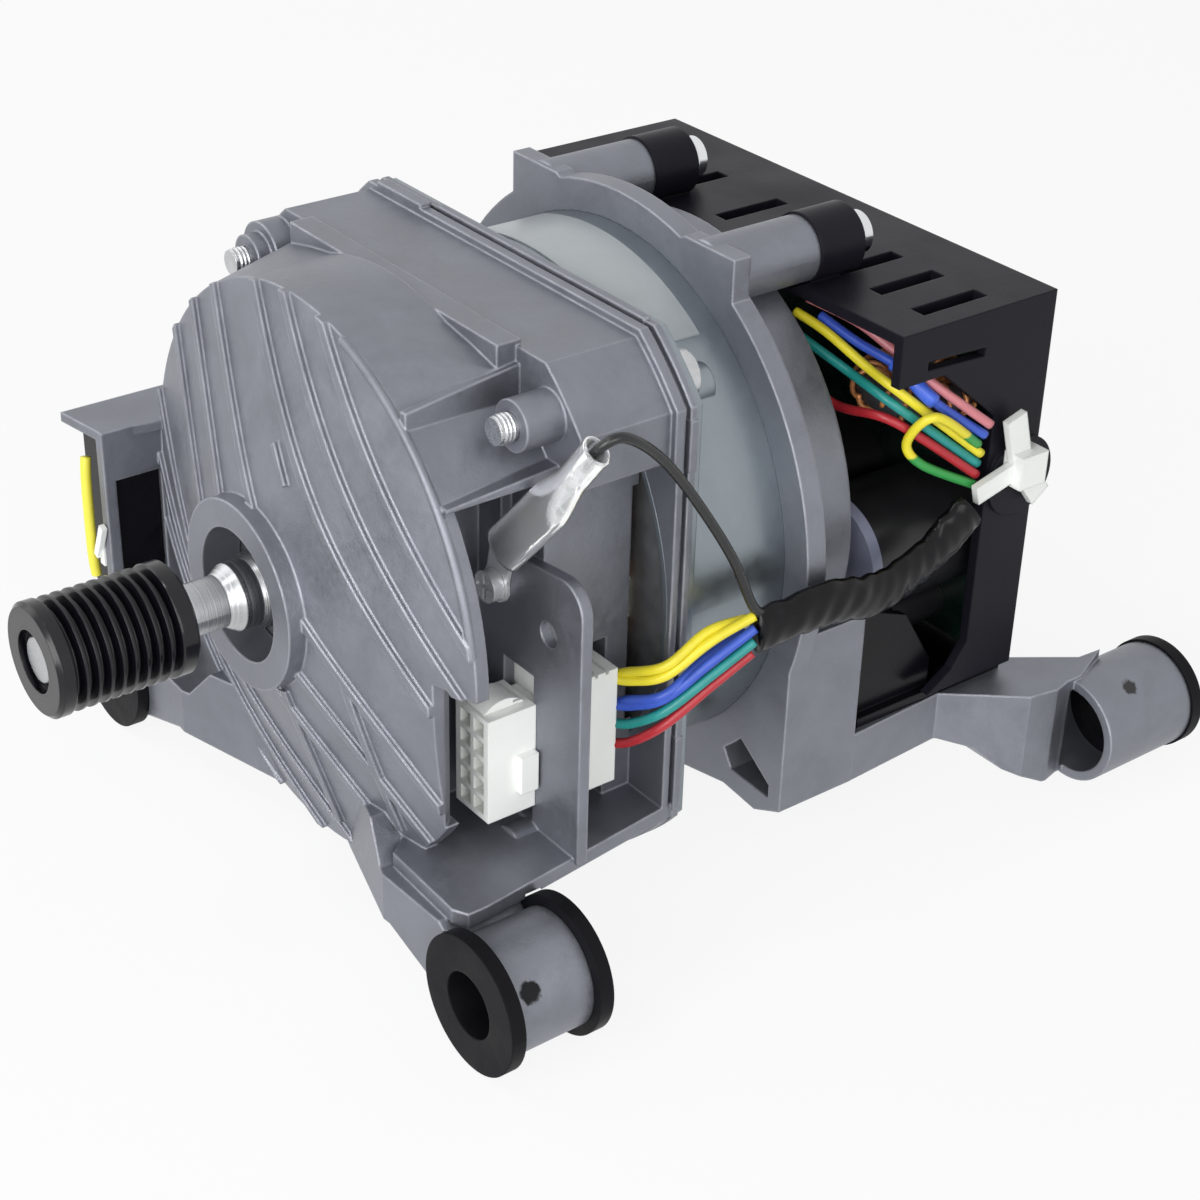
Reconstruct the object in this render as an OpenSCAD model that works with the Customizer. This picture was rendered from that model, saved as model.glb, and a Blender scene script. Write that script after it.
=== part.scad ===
// Belt-drive motor of a front-loading washing machine, with its speed controller.
// The shaft runs along Y, with the belt pulley at the -Y end. X = 0 is the motor's middle plane,
// and +X is the connector side. The origin is on the shaft axis at the middle of the belt.

/* [Pulley] */
// Distance from the middle of the belt to the face of the front hub
belt_to_hub = 27; // [24:0.5:34]
// Outside diameter over the belt ribs
pulley_d = 21.6; // [19:0.2:26]
// Number of belt ribs
rib_count = 9; // [5:1:10]
// Distance from one belt groove to the next
rib_pitch = 2.34; // [2.2:0.02:2.4]
// Depth of a belt groove
groove_depth = 1.9; // [1.2:0.1:2.2]
// Width of the plain rim at the shaft's end
front_rim_w = 2.9; // [2:0.1:4]
// Width of the plain rim at the motor's side
rear_rim_w = 3.2; // [2:0.1:5]

/* [Shaft and bearings] */
// Diameter of the shaft in the pulley
shaft_nose_d = 10; // [8:0.5:11]
// Inside diameter of the front bearing
front_brg_id = 15; // [13:0.5:15]
// Outside diameter of the front bearing
front_brg_od = 35; // [34:0.5:36]
// Width of the front bearing
front_brg_w = 11; // [9:0.5:12]
// Inside diameter of the rear bearing
rear_brg_id = 12; // [11:0.5:13]
// Outside diameter of the rear bearing
rear_brg_od = 32; // [30:0.5:33]
// Width of the rear bearing
rear_brg_w = 10; // [9:0.5:11]

/* [Front bracket] */
// Outside diameter of the hub nose
hub_d = 37; // [35:0.5:39]
// Diameter of the opening in the hub nose
hub_bore_d = 26; // [22:0.5:28]
// How far the hub nose stands out of the cone
hub_nose = 3.6; // [2:0.2:5]
// How far the edge of the ribbed cone stands out past the steel shell
dome_step = 2.5; // [1:0.1:3]
// Distance from the hub face to the edge of the cone
dome_y = 14.6; // [12:0.2:17]
// Distance from the hub face to the rear face of the front bracket
rim_y = 62; // [60:0.5:66]
// How far the flats of the bracket's square rim stand out past the steel shell
rim_step = 1; // [0.5:0.1:2]
// Distance from the steel shell to the rounded rim corners
corner_step = 16; // [14.5:0.5:18.5]
// Wall of the castings
cast_wall = 2.6; // [2:0.1:3]
// Height of the cast ribs on the cone
rib_h = 1.1; // [0.6:0.1:1.6]
// Width of the cast ribs on the cone
rib_w = 1.6; // [1.2:0.1:2.2]
// Distance from the steel shell to the axes of the tie screws
tie_gap = 8.7; // [7.5:0.1:10]
// Distance from the hub face to the floor of the corner pockets
pocket_y = 38; // [36:0.5:41]

/* [Mounting lugs] */
// Sideways distance of the lug axes from the shaft axis
lug_x = 68.3; // [66:0.1:72]
// Distance of the lug axes below the shaft axis
lug_drop = 52.2; // [50:0.1:54]
// Diameter of the lug barrels
lug_d = 23; // [22:0.5:25]
// Diameter of the bore for the rubber bushes
bush_seat_d = 19; // [18:0.5:20]
// Diameter of the hole in the rubber bushes
bush_bore_d = 13; // [10:0.5:14]
// Diameter of the front bush flanges
bush_flange_d = 27; // [25:0.5:28]
// Thickness of a bush flange
bush_flange_t = 3; // [2:0.2:4]
// Distance from the hub face to the front lug barrel
front_lug_y = 7.2; // [6:0.2:9]
// Length of the front lug barrel
front_lug_l = 16; // [14:0.5:22]
// Distance from the hub face to the rear lug barrel
rear_lug_y = 157; // [154:0.5:160]
// Length of the rear lug barrel
rear_lug_l = 24.6; // [22:0.2:28]

/* [Stator and rotor] */
// Outside diameter of the steel shell
shell_d = 107; // [105:0.5:108]
// Wall of the steel shell
shell_wall = 1.2; // [0.8:0.1:1.4]
// Length of the laminated core
core_l = 26; // [22:0.5:28]
// Distance from the hub face to the laminated core
core_y = 58.5; // [57.5:0.5:60]
// Bore of the laminated stator core
core_bore = 56; // [52:0.5:60]
// Air gap between rotor and stator
air_gap = 0.6; // [0.4:0.1:1]
// Number of stator teeth
tooth_count = 12; // [9:3:12]

/* [Rear bracket] */
// Distance from the hub face to the front edge of the rear bracket
ring_y = 86; // [85:0.5:88]
// How far the rear ring stands out past the steel shell
ring_step = 6.5; // [5.5:0.1:7.5]
// Distance from the hub face to the rear face of the rear bracket
back_y = 105; // [103.5:0.5:106]
// Sideways distance of the controller posts
post_x = 25; // [23:0.5:27]
// How far the axes of the controller posts lie inside the steel shell's outside
post_inset = 2; // [0.5:0.1:2.5]
// Height of the underside of the rear beams below the shaft axis
beam_drop = 51; // [49:0.5:53]

/* [Controller] */
// Distance from the hub face to the front of the controller
box_y = 107; // [106.5:0.5:109]
// Depth of the controller
box_l = 40; // [38:0.5:42]
// Width of the controller
box_w = 116; // [114:0.5:118]
// Height of the controller's top above the shaft axis
box_top = 46; // [44:0.5:48]
// Depth of the controller's bottom below the shaft axis
box_drop = 37; // [36:0.5:38]
// Wall of the controller's plastic parts
box_wall = 2.2; // [1.8:0.1:2.6]

/* [Hidden] */
$fn = 64;
// Clearance between fixed pieces
fit_gap = 0.05;
// Gap between pieces that turn past each other
run_gap = 0.4;
hub_r = hub_d / 2;
shell_r = shell_d / 2;
dome_r = shell_r + dome_step;
dome_slope = (dome_y - hub_nose) / (dome_r - hub_r);
rim_half = shell_r + rim_step;
corner_r = shell_r + corner_step;
tie_xz = (shell_r + tie_gap) / sqrt(2);
core_r = shell_r - shell_wall - fit_gap;
pulley_front_y = -belt_to_hub - rib_count * rib_pitch / 2 - front_rim_w;
pulley_rear_y = -belt_to_hub + rib_count * rib_pitch / 2 + rear_rim_w;
pulley_root_d = pulley_d - 2 * groove_depth;
spigot_l = 4;
flange_t = 1.5;
flange_end_y = rim_y + flange_t + fit_gap;
shell_y0 = rim_y - spigot_l;
shell_y1 = ring_y + 3;
front_brg_y = 8;
front_brg_end = front_brg_y + front_brg_w;
seat_wall = 5;
top_z = rim_half - 0.5;
roof_x = 34;
roof_y = 34;
roof_rear_r = 138;
side_x = dome_r - 12;
side_z0 = -40;
side_z1 = 33;
recess_x = dome_r - 29;
pocket_front_y = dome_y + cast_wall;
pocket_rear_y = rim_y - spigot_l;
plate_y = 35;
plate_t = 2.3;
plate_x = dome_r + 2.5;
shelf_t = 3;
shelf_y = 9;
boss_d = 9.5;
tie_d = 5;
tie_head_d = 9;
tie_tip_y = pocket_y - 11.7;
front_lug_end = front_lug_y + front_lug_l;
rear_lug_end = rear_lug_y + rear_lug_l;
core_end = core_y + core_l;
rotor_r = core_bore / 2 - air_gap;
magnet_t = 5;
pole_count = 8;
slot_r = 42;
tooth_w = 7;
shoe_t = 2.6;
insul_t = 0.7;
coil_t = 3.1;
coil_r0 = core_bore / 2 + shoe_t + 0.8;
coil_r1 = slot_r - 1;
ring_t = 4.5;
ring_d = shell_d + 2 * ring_step;
drum_d = shell_d - 5;
back_wall = 3;
back_in_y = back_y - back_wall;
rear_brg_end = back_y - 1;
rear_brg_y = rear_brg_end - rear_brg_w;
rotor_seat_d = 18;
post_d = 13;
post_z = shell_r - post_inset;
post_end = box_y + 3;
boss_end_y = box_y + 14;
box_end = box_y + box_l;
box_half = box_w / 2;
bulge = 1;
board_t = 1.6;
board_half = box_half - 5;
sink_x = 8 - box_half;
wing_x = dome_r + 1;
label_y0 = rim_y + 3;
label_y1 = label_y0 + 16;
board_gap = 3;
board_end = box_end - box_wall - board_gap;
board_y = board_end - board_t;
plug_x = dome_r - 15.8;
plug_z = -23.9;
plug_y = 24.4;
plug_pitch = 4.2;
plug_w = 10.4;
plug_h = 22.2;
neck_w = 8;
header_l = 12.5;
header_x1 = dome_r - 6;
header_z0 = -32.6;
header_z1 = -7.9;
well_x = dome_r - 22.5;
well_y = 51.6;
well_z = -5;
notch_x = dome_r - 9.4;
header_y = plate_y + plate_t + fit_gap;
tab_x = dome_r - 22.5;
tab_z = 7.1;
tab_t = 0.8;
choke_x = box_half - 15.5;
choke_z = 25;
choke_r = 8.6;
choke_loop_r = 3.7;
choke_wire_d = 1.1;
choke_loops = 16;
choke_y = board_y - choke_r - choke_loop_r - choke_wire_d / 2 - fit_gap;
wire_d = 1.9;
sheath_in = [dome_r + 6.6, 72.8, -1.6];
sheath_route = [
  sheath_in, sheath_in + [0.8, 15.2, 1], sheath_in + [0, 30.2, -1.8], [box_half + 3.2, box_y + 10, -0.6],
  [box_half + 3.2, box_y + 20, 6.4]
];
bundle_in = sheath_in - [0, 0.8, 0];
crimp_at = sheath_in + [-3.8, -37.7, 42.9];
tie_in = [box_half + 0.5, box_y + 24.5, 14.4];
tie_y = box_y + 32.6;
tie_z = 11.8;

// Height of the cone's outer surface at a distance from the shaft
function dome_at(r) = hub_nose + dome_slope * (r - hub_r);

// Moves what is drawn from the hub face's frame to the belt's frame
module at_hub() { translate([0, belt_to_hub, 0]) children(); }

// Extrudes an outline of X and Z from y0 to y1
module slab_y(y0, y1) { translate([0, y1, 0]) rotate([90, 0, 0]) linear_extrude(y1 - y0) children(); }

// Extrudes an outline of Y and Z from x0 to x1
module slab_x(x0, x1) { translate([x0, 0, 0]) rotate([90, 0, 90]) linear_extrude(x1 - x0) children(); }

// Extrudes an outline of X and Y from z0 to z1
module slab_z(z0, z1) { translate([0, 0, z0]) linear_extrude(z1 - z0) children(); }

// Turns a profile of radius and Y about the shaft axis
module turn_y() { rotate([-90, 0, 0]) rotate_extrude() children(); }

// Round bar along Y at a place in X and Z
module rod_y(d, y0, y1, at = [0, 0]) {
  translate([at[0], y0, at[1]]) rotate([-90, 0, 0]) cylinder(d = d, h = y1 - y0);
}

// Tube along Y at a place in X and Z
module tube_y(od, id, y0, y1, at = [0, 0]) {
  difference() {
    rod_y(od, y0, y1, at);
    rod_y(id, y0 - 1, y1 + 1, at);
  }
}

// Box between two corners
module box(a, b) { translate(a) cube(b - a); }

// Straight strip of width w from p to q in an outline
module strip(p, q, w) {
  d = q - p;
  translate(p) rotate(atan2(d[1], d[0])) translate([0, -w / 2]) square([norm(d), w]);
}

// Places a child at each of the four tie screws
module at_ties() { for (sx = [-1, 1], sz = [-1, 1]) translate([sx * tie_xz, 0, sz * tie_xz]) children(); }

// Places a child at the two lug axes
module at_lugs() { for (sx = [-1, 1]) translate([sx * lug_x, 0, -lug_drop]) children(); }

// Point on a smooth curve through a list of points, t counted in points
function curve_at(p, t) =
  let (n = len(p) - 1, i = min(floor(t), n - 1), u = t - i)
  let (a = p[max(i - 1, 0)], b = p[i], c = p[i + 1], d = p[min(i + 2, n)])
  0.5 * (2 * b + (c - a) * u + (2 * a - 5 * b + 4 * c - d) * u * u + (3 * b - a - 3 * c + d) * u * u * u);

function unit(v) = v / norm(v);

// Points counted from one place
function route_from(place, points) = [for (p = points) place + p];

// Tube of an oval section swept along a list of points. Its width lies along the vector side,
// which is one vector or a list with a vector for each point.
module sweep(path, w, h, side = [0, 0, 1], sides = 8) {
  n = len(path);
  function tangent(i) = unit(path[min(i + 1, n - 1)] - path[max(i - 1, 0)]);
  function side_at(i) = is_list(side[0]) ? side[i] : side;
  function across(i) = unit(cross(tangent(i), side_at(i)));
  function upward(i) = cross(across(i), tangent(i));
  rings = [
    for (i = [0 : n - 1], j = [0 : sides - 1])
      let (a = 360 * (j + 0.5) / sides)
      path[i] + across(i) * h / 2 * cos(a) + upward(i) * w / 2 * sin(a)
  ];
  skin = [
    for (i = [0 : n - 2], j = [0 : sides - 1], k = [0, 1])
      let (a = i * sides + j, b = i * sides + (j + 1) % sides)
      k == 0 ? [a, b, b + sides] : [a, b + sides, a + sides]
  ];
  first = [for (j = [1 : sides - 2]) [0, j + 1, j]];
  end = (n - 1) * sides;
  last = [for (j = [1 : sides - 2]) [end, end + j, end + j + 1]];
  polyhedron(rings, concat(skin, first, last));
}

// Round cord along a smooth curve through hand-placed points
module cord(points, d, steps = 2) {
  last = len(points) - 1;
  sweep([for (i = [0 : last * steps]) curve_at(points, i / steps)], d, d);
}

// Solid of the cone and the round body behind it
module dome_body() {
  turn_y() polygon([
    [0, 0], [hub_r, 0], [hub_r, hub_nose], [dome_r, dome_y], [dome_r, roof_y], [0, roof_y]
  ]);
  slab_y(roof_y - 1, pocket_y + 1) intersection() {
    circle(dome_r);
    square(2 * top_z, center = true);
  }
}

// Roof that runs from the round edge of the cone to the flat top of the square body
module roof() {
  hull($fn = 48) {
    slab_y(dome_y, dome_y + 0.5) intersection() {
      circle(dome_r, $fn = 48);
      translate([-roof_x, 0]) square([2 * roof_x, dome_r]);
    }
    slab_y(roof_y - 0.5, roof_y) intersection() {
      translate([0, top_z - roof_rear_r]) circle(roof_rear_r, $fn = 96);
      translate([-roof_x, 0]) square([2 * roof_x, top_z]);
    }
  }
  slab_y(roof_y, pocket_y + 1) translate([-roof_x, 0]) square([2 * roof_x, top_z]);
}

module square_outline(half, r) {
  intersection() {
    square(2 * half, center = true);
    circle(r);
  }
}

module square_body() {
  slab_y(pocket_y, rim_y - 1) square_outline(top_z - 1, corner_r - 1.5);
  slab_y(rim_y - 1.4, rim_y) square_outline(rim_half, corner_r);
  slab_y(rim_y - 4.6, rim_y - 2.6) square_outline(rim_half, corner_r);
}

// Raised lips on the rim, broken at the notches
module rim_lips() {
  lip = 0.4;
  lip_y = rim_y - 1.6;
  box([-40, lip_y - 3, top_z - 2], [-25, rim_y - 2, rim_half + 2 * lip]);
  box([-23.5, lip_y, top_z - 2], [40.6, rim_y, rim_half + lip]);
  box([top_z - 2, lip_y, 30.8], [rim_half + lip, rim_y, 40.7]);
  box([top_z - 2, lip_y, -41.2], [rim_half + lip, rim_y, -24.9]);
}

// Slanting ribs on the cone, and two branches that run down to the right lug
module dome_ribs() {
  intersection() {
    turn_y() polygon([
      [hub_r - 0.5, dome_at(hub_r) + 1], [hub_r - 0.5, dome_at(hub_r) - rib_h],
      [dome_r, dome_at(dome_r) - rib_h], [dome_r, dome_at(dome_r) + 1]
    ]);
    slab_y(0, rim_y) {
      for (c = [-68, -53, -37, -11, 5, 20, 41.5, 53.3, 65])
        strip([c / 2 - 60, c / 2 + 60], [c / 2 + 60, c / 2 - 60], rib_w);
      strip([27, -7], [34.5, -38], rib_w);
      strip([9.5, -17], [13.2, -48], rib_w);
      strip([4.4, 31], [9.8, 25], rib_w * 0.6);
    }
  }
  intersection() {
    turn_y() translate([dome_r - 0.6, dome_y]) circle(0.9, $fn = 24);
    box([16, 0, 9], [dome_r + 2, roof_y, dome_r + 2]);
  }
}

module pocket_ribs() {
  slab_x(roof_x - 0.4, roof_x + 1.2) polygon([
    [dome_y, 42], [dome_y, 46.8], [pocket_y + 1, 50.2], [pocket_y + 1, 42]
  ]);
  slab_x(dome_r - 18, dome_r - 9.2) polygon([
    [dome_y + 0.4, side_z1], [dome_y + 0.4, side_z1 + 0.6], [pocket_y + 1, side_z1 + 2.5],
    [pocket_y + 1, side_z1]
  ]);
  at_ties() rod_y(boss_d, pocket_y - 8, pocket_y + 1);
  translate([-tie_xz, 0, tie_xz]) rod_y(boss_d + 4, pocket_y - 5, pocket_y + 1);
}

// Hollow of the bracket, kept a wall away from the side pockets
module bracket_hollow() {
  inner_r = dome_r - cast_wall;
  limit = side_x - cast_wall;
  difference() {
    intersection() {
      turn_y() polygon([
        [0, front_brg_end + 0.6], [front_brg_od / 2 + seat_wall, front_brg_end + 0.6],
        [front_brg_od / 2 + seat_wall, dome_at(front_brg_od / 2 + seat_wall) + cast_wall],
        [inner_r, dome_at(inner_r) + cast_wall], [inner_r, roof_y], [shell_r - 3, pocket_y],
        [shell_r - 3, rim_y + 1], [0, rim_y + 1]
      ]);
      union() {
        box([-limit, 0, -80], [limit, rim_y + 1, 80]);
        box([-80, pocket_rear_y + cast_wall - spigot_l, -80], [80, rim_y + 1, 80]);
      }
    }
    box(
      [recess_x - cast_wall, 0, side_z0 - shelf_t],
      [80, plate_y + plate_t + cast_wall, side_z1 + cast_wall]
    );
    box([well_x - cast_wall, 0, side_z0 - shelf_t], [80, well_y + cast_wall, well_z + cast_wall]);
  }
}

// Cut in the cone's edge that leaves the plug in sight
module plug_notch() {
  slab_z(-31, 0.5) polygon([
    [notch_x, -1], [notch_x, dome_y - 0.4], [notch_x - 3, pocket_front_y],
    [notch_x - 3, pocket_front_y + 1], [80, pocket_front_y + 1], [80, -1]
  ]);
}

module side_pockets() {
  box([side_x, pocket_front_y, side_z0], [80, pocket_rear_y, side_z1]);
  box([recess_x, pocket_front_y, side_z0], [80, plate_y + plate_t, side_z1]);
  box([well_x, pocket_front_y, side_z0], [80, well_y, well_z]);
  plug_notch();
  box([-80, pocket_front_y, side_z0], [-side_x, pocket_rear_y, side_z1]);
}

// Shelf under the connector, with the slotted plate that holds it
module connector_shelf() {
  slab_z(side_z0 - shelf_t, side_z0) polygon([
    [20, 22], [plate_x - 24.5, 13], [plate_x - 21.5, shelf_y], [plate_x - 1.5, shelf_y - 0.6],
    [plate_x + 1.5, shelf_y + 1], [plate_x + 1.5, 14], [top_z, rim_y], [20, rim_y]
  ]);
  difference() {
    slab_y(plate_y, plate_y + plate_t) {
      polygon([
        [recess_x - 1, side_z0 - 1], [plate_x, side_z0 - 1], [plate_x, 10.5], [plate_x - 6, 16.5],
        [tab_x + 0.5, 14.5], [tab_x + 0.5, side_z1 + 1], [recess_x - 1, side_z1 + 1]
      ]);
      translate([plate_x - 6, 10.5]) circle(6);
    }
    rod_y(5, plate_y - 1, plate_y + plate_t + 1, [plate_x - 9.7, 3.6]);
    box(
      [plug_x - neck_w / 2 - 1, plate_y - 1, side_z0 + 0.6],
      [plug_x + neck_w / 2 + 0.3, plate_y + plate_t + 1, -7.3]
    );
  }
}

// Arm that carries a front lug, drawn on the +X side
module front_arm() {
  intersection() {
    slab_y(0, front_lug_end) polygon([
      [-6, -44], [-6, -54], [14, -54.5], [40, -53], [lug_x - 14, -lug_drop - 6],
      [lug_x, -lug_drop - lug_d / 2], [lug_x, -lug_drop], [lug_x - 9, -lug_drop + 6],
      [lug_x - 13, side_z0 - shelf_t], [36, side_z0 - shelf_t], [30, -36], [10, -36]
    ]);
    slab_z(-80, 0) polygon([
      [-6, 18], [10, 15], [38, 6], [lug_x, front_lug_y], [lug_x, front_lug_end], [-6, front_lug_end]
    ]);
  }
}

// Left wing: an upright wall with a window, and a shelf that covers the terminals
module left_wing() {
  slab_x(-wing_x, 2.5 - wing_x) difference() {
    polygon([[1, 10], [24, 10], [24, -30], [18, side_z0 - 6], [8, side_z0 - 6], [1, -30]]);
    translate([3.4, -26]) square([10, 25]);
  }
  slab_z(8, 10) polygon([
    [-wing_x - 11, -1], [1 - wing_x, 1], [5 - wing_x, 20], [3 - wing_x, 26], [-wing_x - 11, 22.5]
  ]);
  box([-wing_x, 17, 6], [7 - wing_x, 24, 10]);
}

module front_bracket() {
  color("#a6a9b2") at_hub() difference() {
    union() {
      difference() {
        union() {
          dome_body();
          roof();
          square_body();
        }
        bracket_hollow();
        side_pockets();
      }
      rim_lips();
      difference() {
        dome_ribs();
        plug_notch();
      }
      pocket_ribs();
      connector_shelf();
      front_arm();
      mirror([1, 0, 0]) front_arm();
      left_wing();
      at_lugs() rod_y(lug_d, front_lug_y, front_lug_end);
    }
    rod_y(3, plate_y - 1, plate_y + plate_t + 3, [tab_x, tab_z]);
    at_lugs() {
      rod_y(bush_seat_d, front_lug_y - 3, front_lug_end + 1);
      rod_y(bush_flange_d + 2 * run_gap, front_lug_y - bush_flange_t - 1, front_lug_y);
      rod_y(bush_flange_d + 2 * run_gap, front_lug_end, front_lug_end + bush_flange_t + 1);
    }
    at_ties() rod_y(tie_d + 2 * fit_gap, tie_tip_y - 1, rim_y + 1);
    rod_y(hub_bore_d, -1, front_brg_y + 1);
    rod_y(front_brg_od + 2 * fit_gap, front_brg_y, front_brg_end + 2);
    rod_y(shell_d + 2 * fit_gap, shell_y0, rim_y + 1);
  }
}

// Side wall of the rear bracket and the arm that runs under the controller to a lug, on the +X side
module rear_beam() {
  beam_top = -box_drop - 3;
  slab_x(53.5, 57) polygon([[ring_y, -12], [back_y, -14], [back_y, -beam_drop], [ring_y, -beam_drop]]);
  difference() {
    intersection() {
      slab_z(-80, beam_top) polygon([
        [45, back_y - 1], [57, back_y - 1], [55.5, 129.5], [lug_x - 0.8, 144.2],
        [lug_x + 0.4, rear_lug_y - 6], [lug_x - 0.6, rear_lug_y - 2], [lug_x - 0.6, rear_lug_y + 2],
        [lug_x - 5.6, rear_lug_y + 13], [lug_x - 6, rear_lug_y + 7],
        [54, 152], [45, 138]
      ]);
      slab_x(40, lug_x + 2) polygon([
        [back_y - 1, 0], [back_y - 1, -beam_drop], [130, -beam_drop], [136, -beam_drop - 2],
        [141, -beam_drop - 7], [150, -beam_drop - 11.7], [rear_lug_y + 14, -beam_drop - 11.7],
        [rear_lug_y + 14, 0]
      ]);
    }
    box([48, back_y + 3, -80], [53, 132, beam_top - cast_wall]);
  }
}

module rear_ears() {
  slab_y(ring_y, ring_y + 4) polygon([
    [-post_x - 9.4, post_z - 5.5], [-post_x - 9.4, post_z + 6.1], [5 - post_x, post_z + 6.1],
    [11 - post_x, post_z + 2.5], [post_x - 11, post_z + 2.5], [post_x - 5, post_z + 6.1],
    [post_x + 9.4, post_z + 6.1], [post_x + 9.4, post_z - 5.5]
  ]);
}

module rear_feet() {
  slab_y(ring_y, back_y) difference() {
    polygon([[27.6, -41], [27.6, -56], [40, -53.4], [49.7, -54.4], [57, -beam_drop], [57, -12], [50, -20]]);
    polygon([[38.5, -43.5], [44, -40], [53.5, -46.5], [53.5, -49.5], [42, -49]]);
  }
}

module rear_bracket() {
  color("#9a9da7") at_hub() difference() {
    union() {
      difference() {
        union() {
          rod_y(ring_d, ring_y, ring_y + ring_t);
          rod_y(drum_d, ring_y + 1, back_y);
          rear_ears();
          for (sx = [-1, 1]) rod_y(post_d, ring_y + 1, post_end, [sx * post_x, post_z]);
        }
        rod_y(drum_d - 2 * cast_wall, ring_y - 1, back_in_y);
      }
      rear_feet();
      rear_beam();
      mirror([1, 0, 0]) {
        rear_feet();
        rear_beam();
      }
      at_lugs() rod_y(lug_d, rear_lug_y, rear_lug_end);
      rod_y(rear_brg_od + 8, rear_brg_y, back_y);
    }
    rod_y(shell_d + 2 * fit_gap, ring_y - 1, shell_y1);
    rod_y(rear_brg_od + 2 * fit_gap, rear_brg_y - 1, rear_brg_end);
    for (sx = [-1, 1]) rod_y(4, post_end - 10, post_end + 1, [sx * post_x, post_z]);
    at_lugs() rod_y(bush_seat_d, rear_lug_y - 1, rear_lug_end + 1);
    for (a = [0 : 45 : 315]) rotate([0, a + 22.5, 0]) rod_y(9, back_in_y - 1, back_y + 1, [36, 0]);
  }
}

module stator_shell() {
  color("#8f9ba3") at_hub() difference() {
    union() {
      rod_y(shell_d, shell_y0, shell_y1);
      slab_y(rim_y + fit_gap, flange_end_y) square_outline(rim_half - 0.6, corner_r - 0.6);
      rotate([0, -45, 0]) rod_y(8, flange_end_y, ring_y - 8, [shell_r - 2, 0]);
    }
    rod_y(shell_d - 2 * shell_wall, shell_y0 - 1, shell_y1 + 1);
    at_ties() rod_y(tie_d + 2 * fit_gap, rim_y - 1, flange_end_y + 1);
    rotate([0, -41, 0]) box([shell_r - 5, 66, -2.5], [shell_r + 5, 72, 2.5]);
  }
}

module rating_plate() {
  plate = 0.3;
  color("#d9dce0") at_hub() intersection() {
    tube_y(shell_d + 2 * (plate + fit_gap), shell_d + 2 * fit_gap, label_y0, label_y1);
    box([-17, label_y0, 20], [31.5, label_y1, shell_r + 10]);
  }
}

module stator_core() {
  color("#6f7680") at_hub() slab_y(core_y, core_end) intersection() {
    circle(core_r);
    union() {
      difference() {
        circle(core_r);
        circle(slot_r);
      }
      for (i = [0 : tooth_count - 1]) rotate(360 * i / tooth_count)
        difference() {
          union() {
            translate([core_bore / 2, -tooth_w / 2]) square([slot_r - core_bore / 2 + 1, tooth_w]);
            translate([core_bore / 2, -tooth_w / 2 - 2.6]) square([shoe_t, tooth_w + 5.2]);
          }
          circle(core_bore / 2);
        }
      difference() {
        circle(core_bore / 2 + 1.2);
        circle(core_bore / 2);
        for (i = [0 : tooth_count - 1]) rotate(360 * (i + 0.5) / tooth_count)
          translate([core_bore / 2 - 2, -1.2]) square([8, 2.4]);
      }
    }
  }
}

// Frame round a tooth, between two radii, grown by a clearance and a thickness
module tooth_frame(r0, r1, inner, t) {
  in_z = tooth_w / 2 + inner;
  out_z = in_z + t;
  difference() {
    box([r0, core_y - inner - t, -out_z], [r1, core_end + inner + t, out_z]);
    box([r0 - 1, core_y - inner, -in_z], [r1 + 1, core_end + inner, in_z]);
  }
}

module at_teeth() { for (i = [0 : tooth_count - 1]) rotate([0, 360 * i / tooth_count, 0]) children(); }

module slot_insulators() {
  color("#e9e4d2") at_hub() at_teeth() tooth_frame(coil_r0 - 0.6, coil_r1 + 0.6, fit_gap, insul_t);
}

module stator_coils() {
  color("#b8703a") at_hub() at_teeth() tooth_frame(coil_r0, coil_r1, insul_t + 2 * fit_gap, coil_t);
}

module tie_screws() {
  color("#b9bec4") at_hub() at_ties() {
    rod_y(tie_d, tie_tip_y, flange_end_y + fit_gap);
    rod_y(tie_head_d, flange_end_y + fit_gap, flange_end_y + 4);
  }
}

module shaft() {
  nose_r = shaft_nose_d / 2;
  rear_r = rear_brg_id / 2 - fit_gap;
  seat_r = front_brg_id / 2 - fit_gap;
  color("#b4b5b6") at_hub() turn_y() polygon([
    [0, pulley_front_y + 0.8], [nose_r - 0.9, pulley_front_y + 0.8], [nose_r - 0.5, pulley_front_y + 1.2],
    [nose_r - 0.5, pulley_front_y + 2.6], [nose_r, pulley_front_y + 2.6], [nose_r, -4],
    [nose_r + 1.5, -1.5], [nose_r + 1.5, 2], [seat_r, 4], [seat_r, front_brg_end],
    [seat_r + 2.5, front_brg_end], [seat_r + 2.5, front_brg_end + 6],
    [rotor_seat_d / 2, front_brg_end + 8], [rotor_seat_d / 2, core_end + 6], [rear_r + 2, core_end + 6],
    [rear_r + 2, rear_brg_y], [rear_r, rear_brg_y], [rear_r, rear_brg_end - 0.6],
    [rear_r - 0.6, rear_brg_end], [0, rear_brg_end]
  ]);
}

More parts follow.
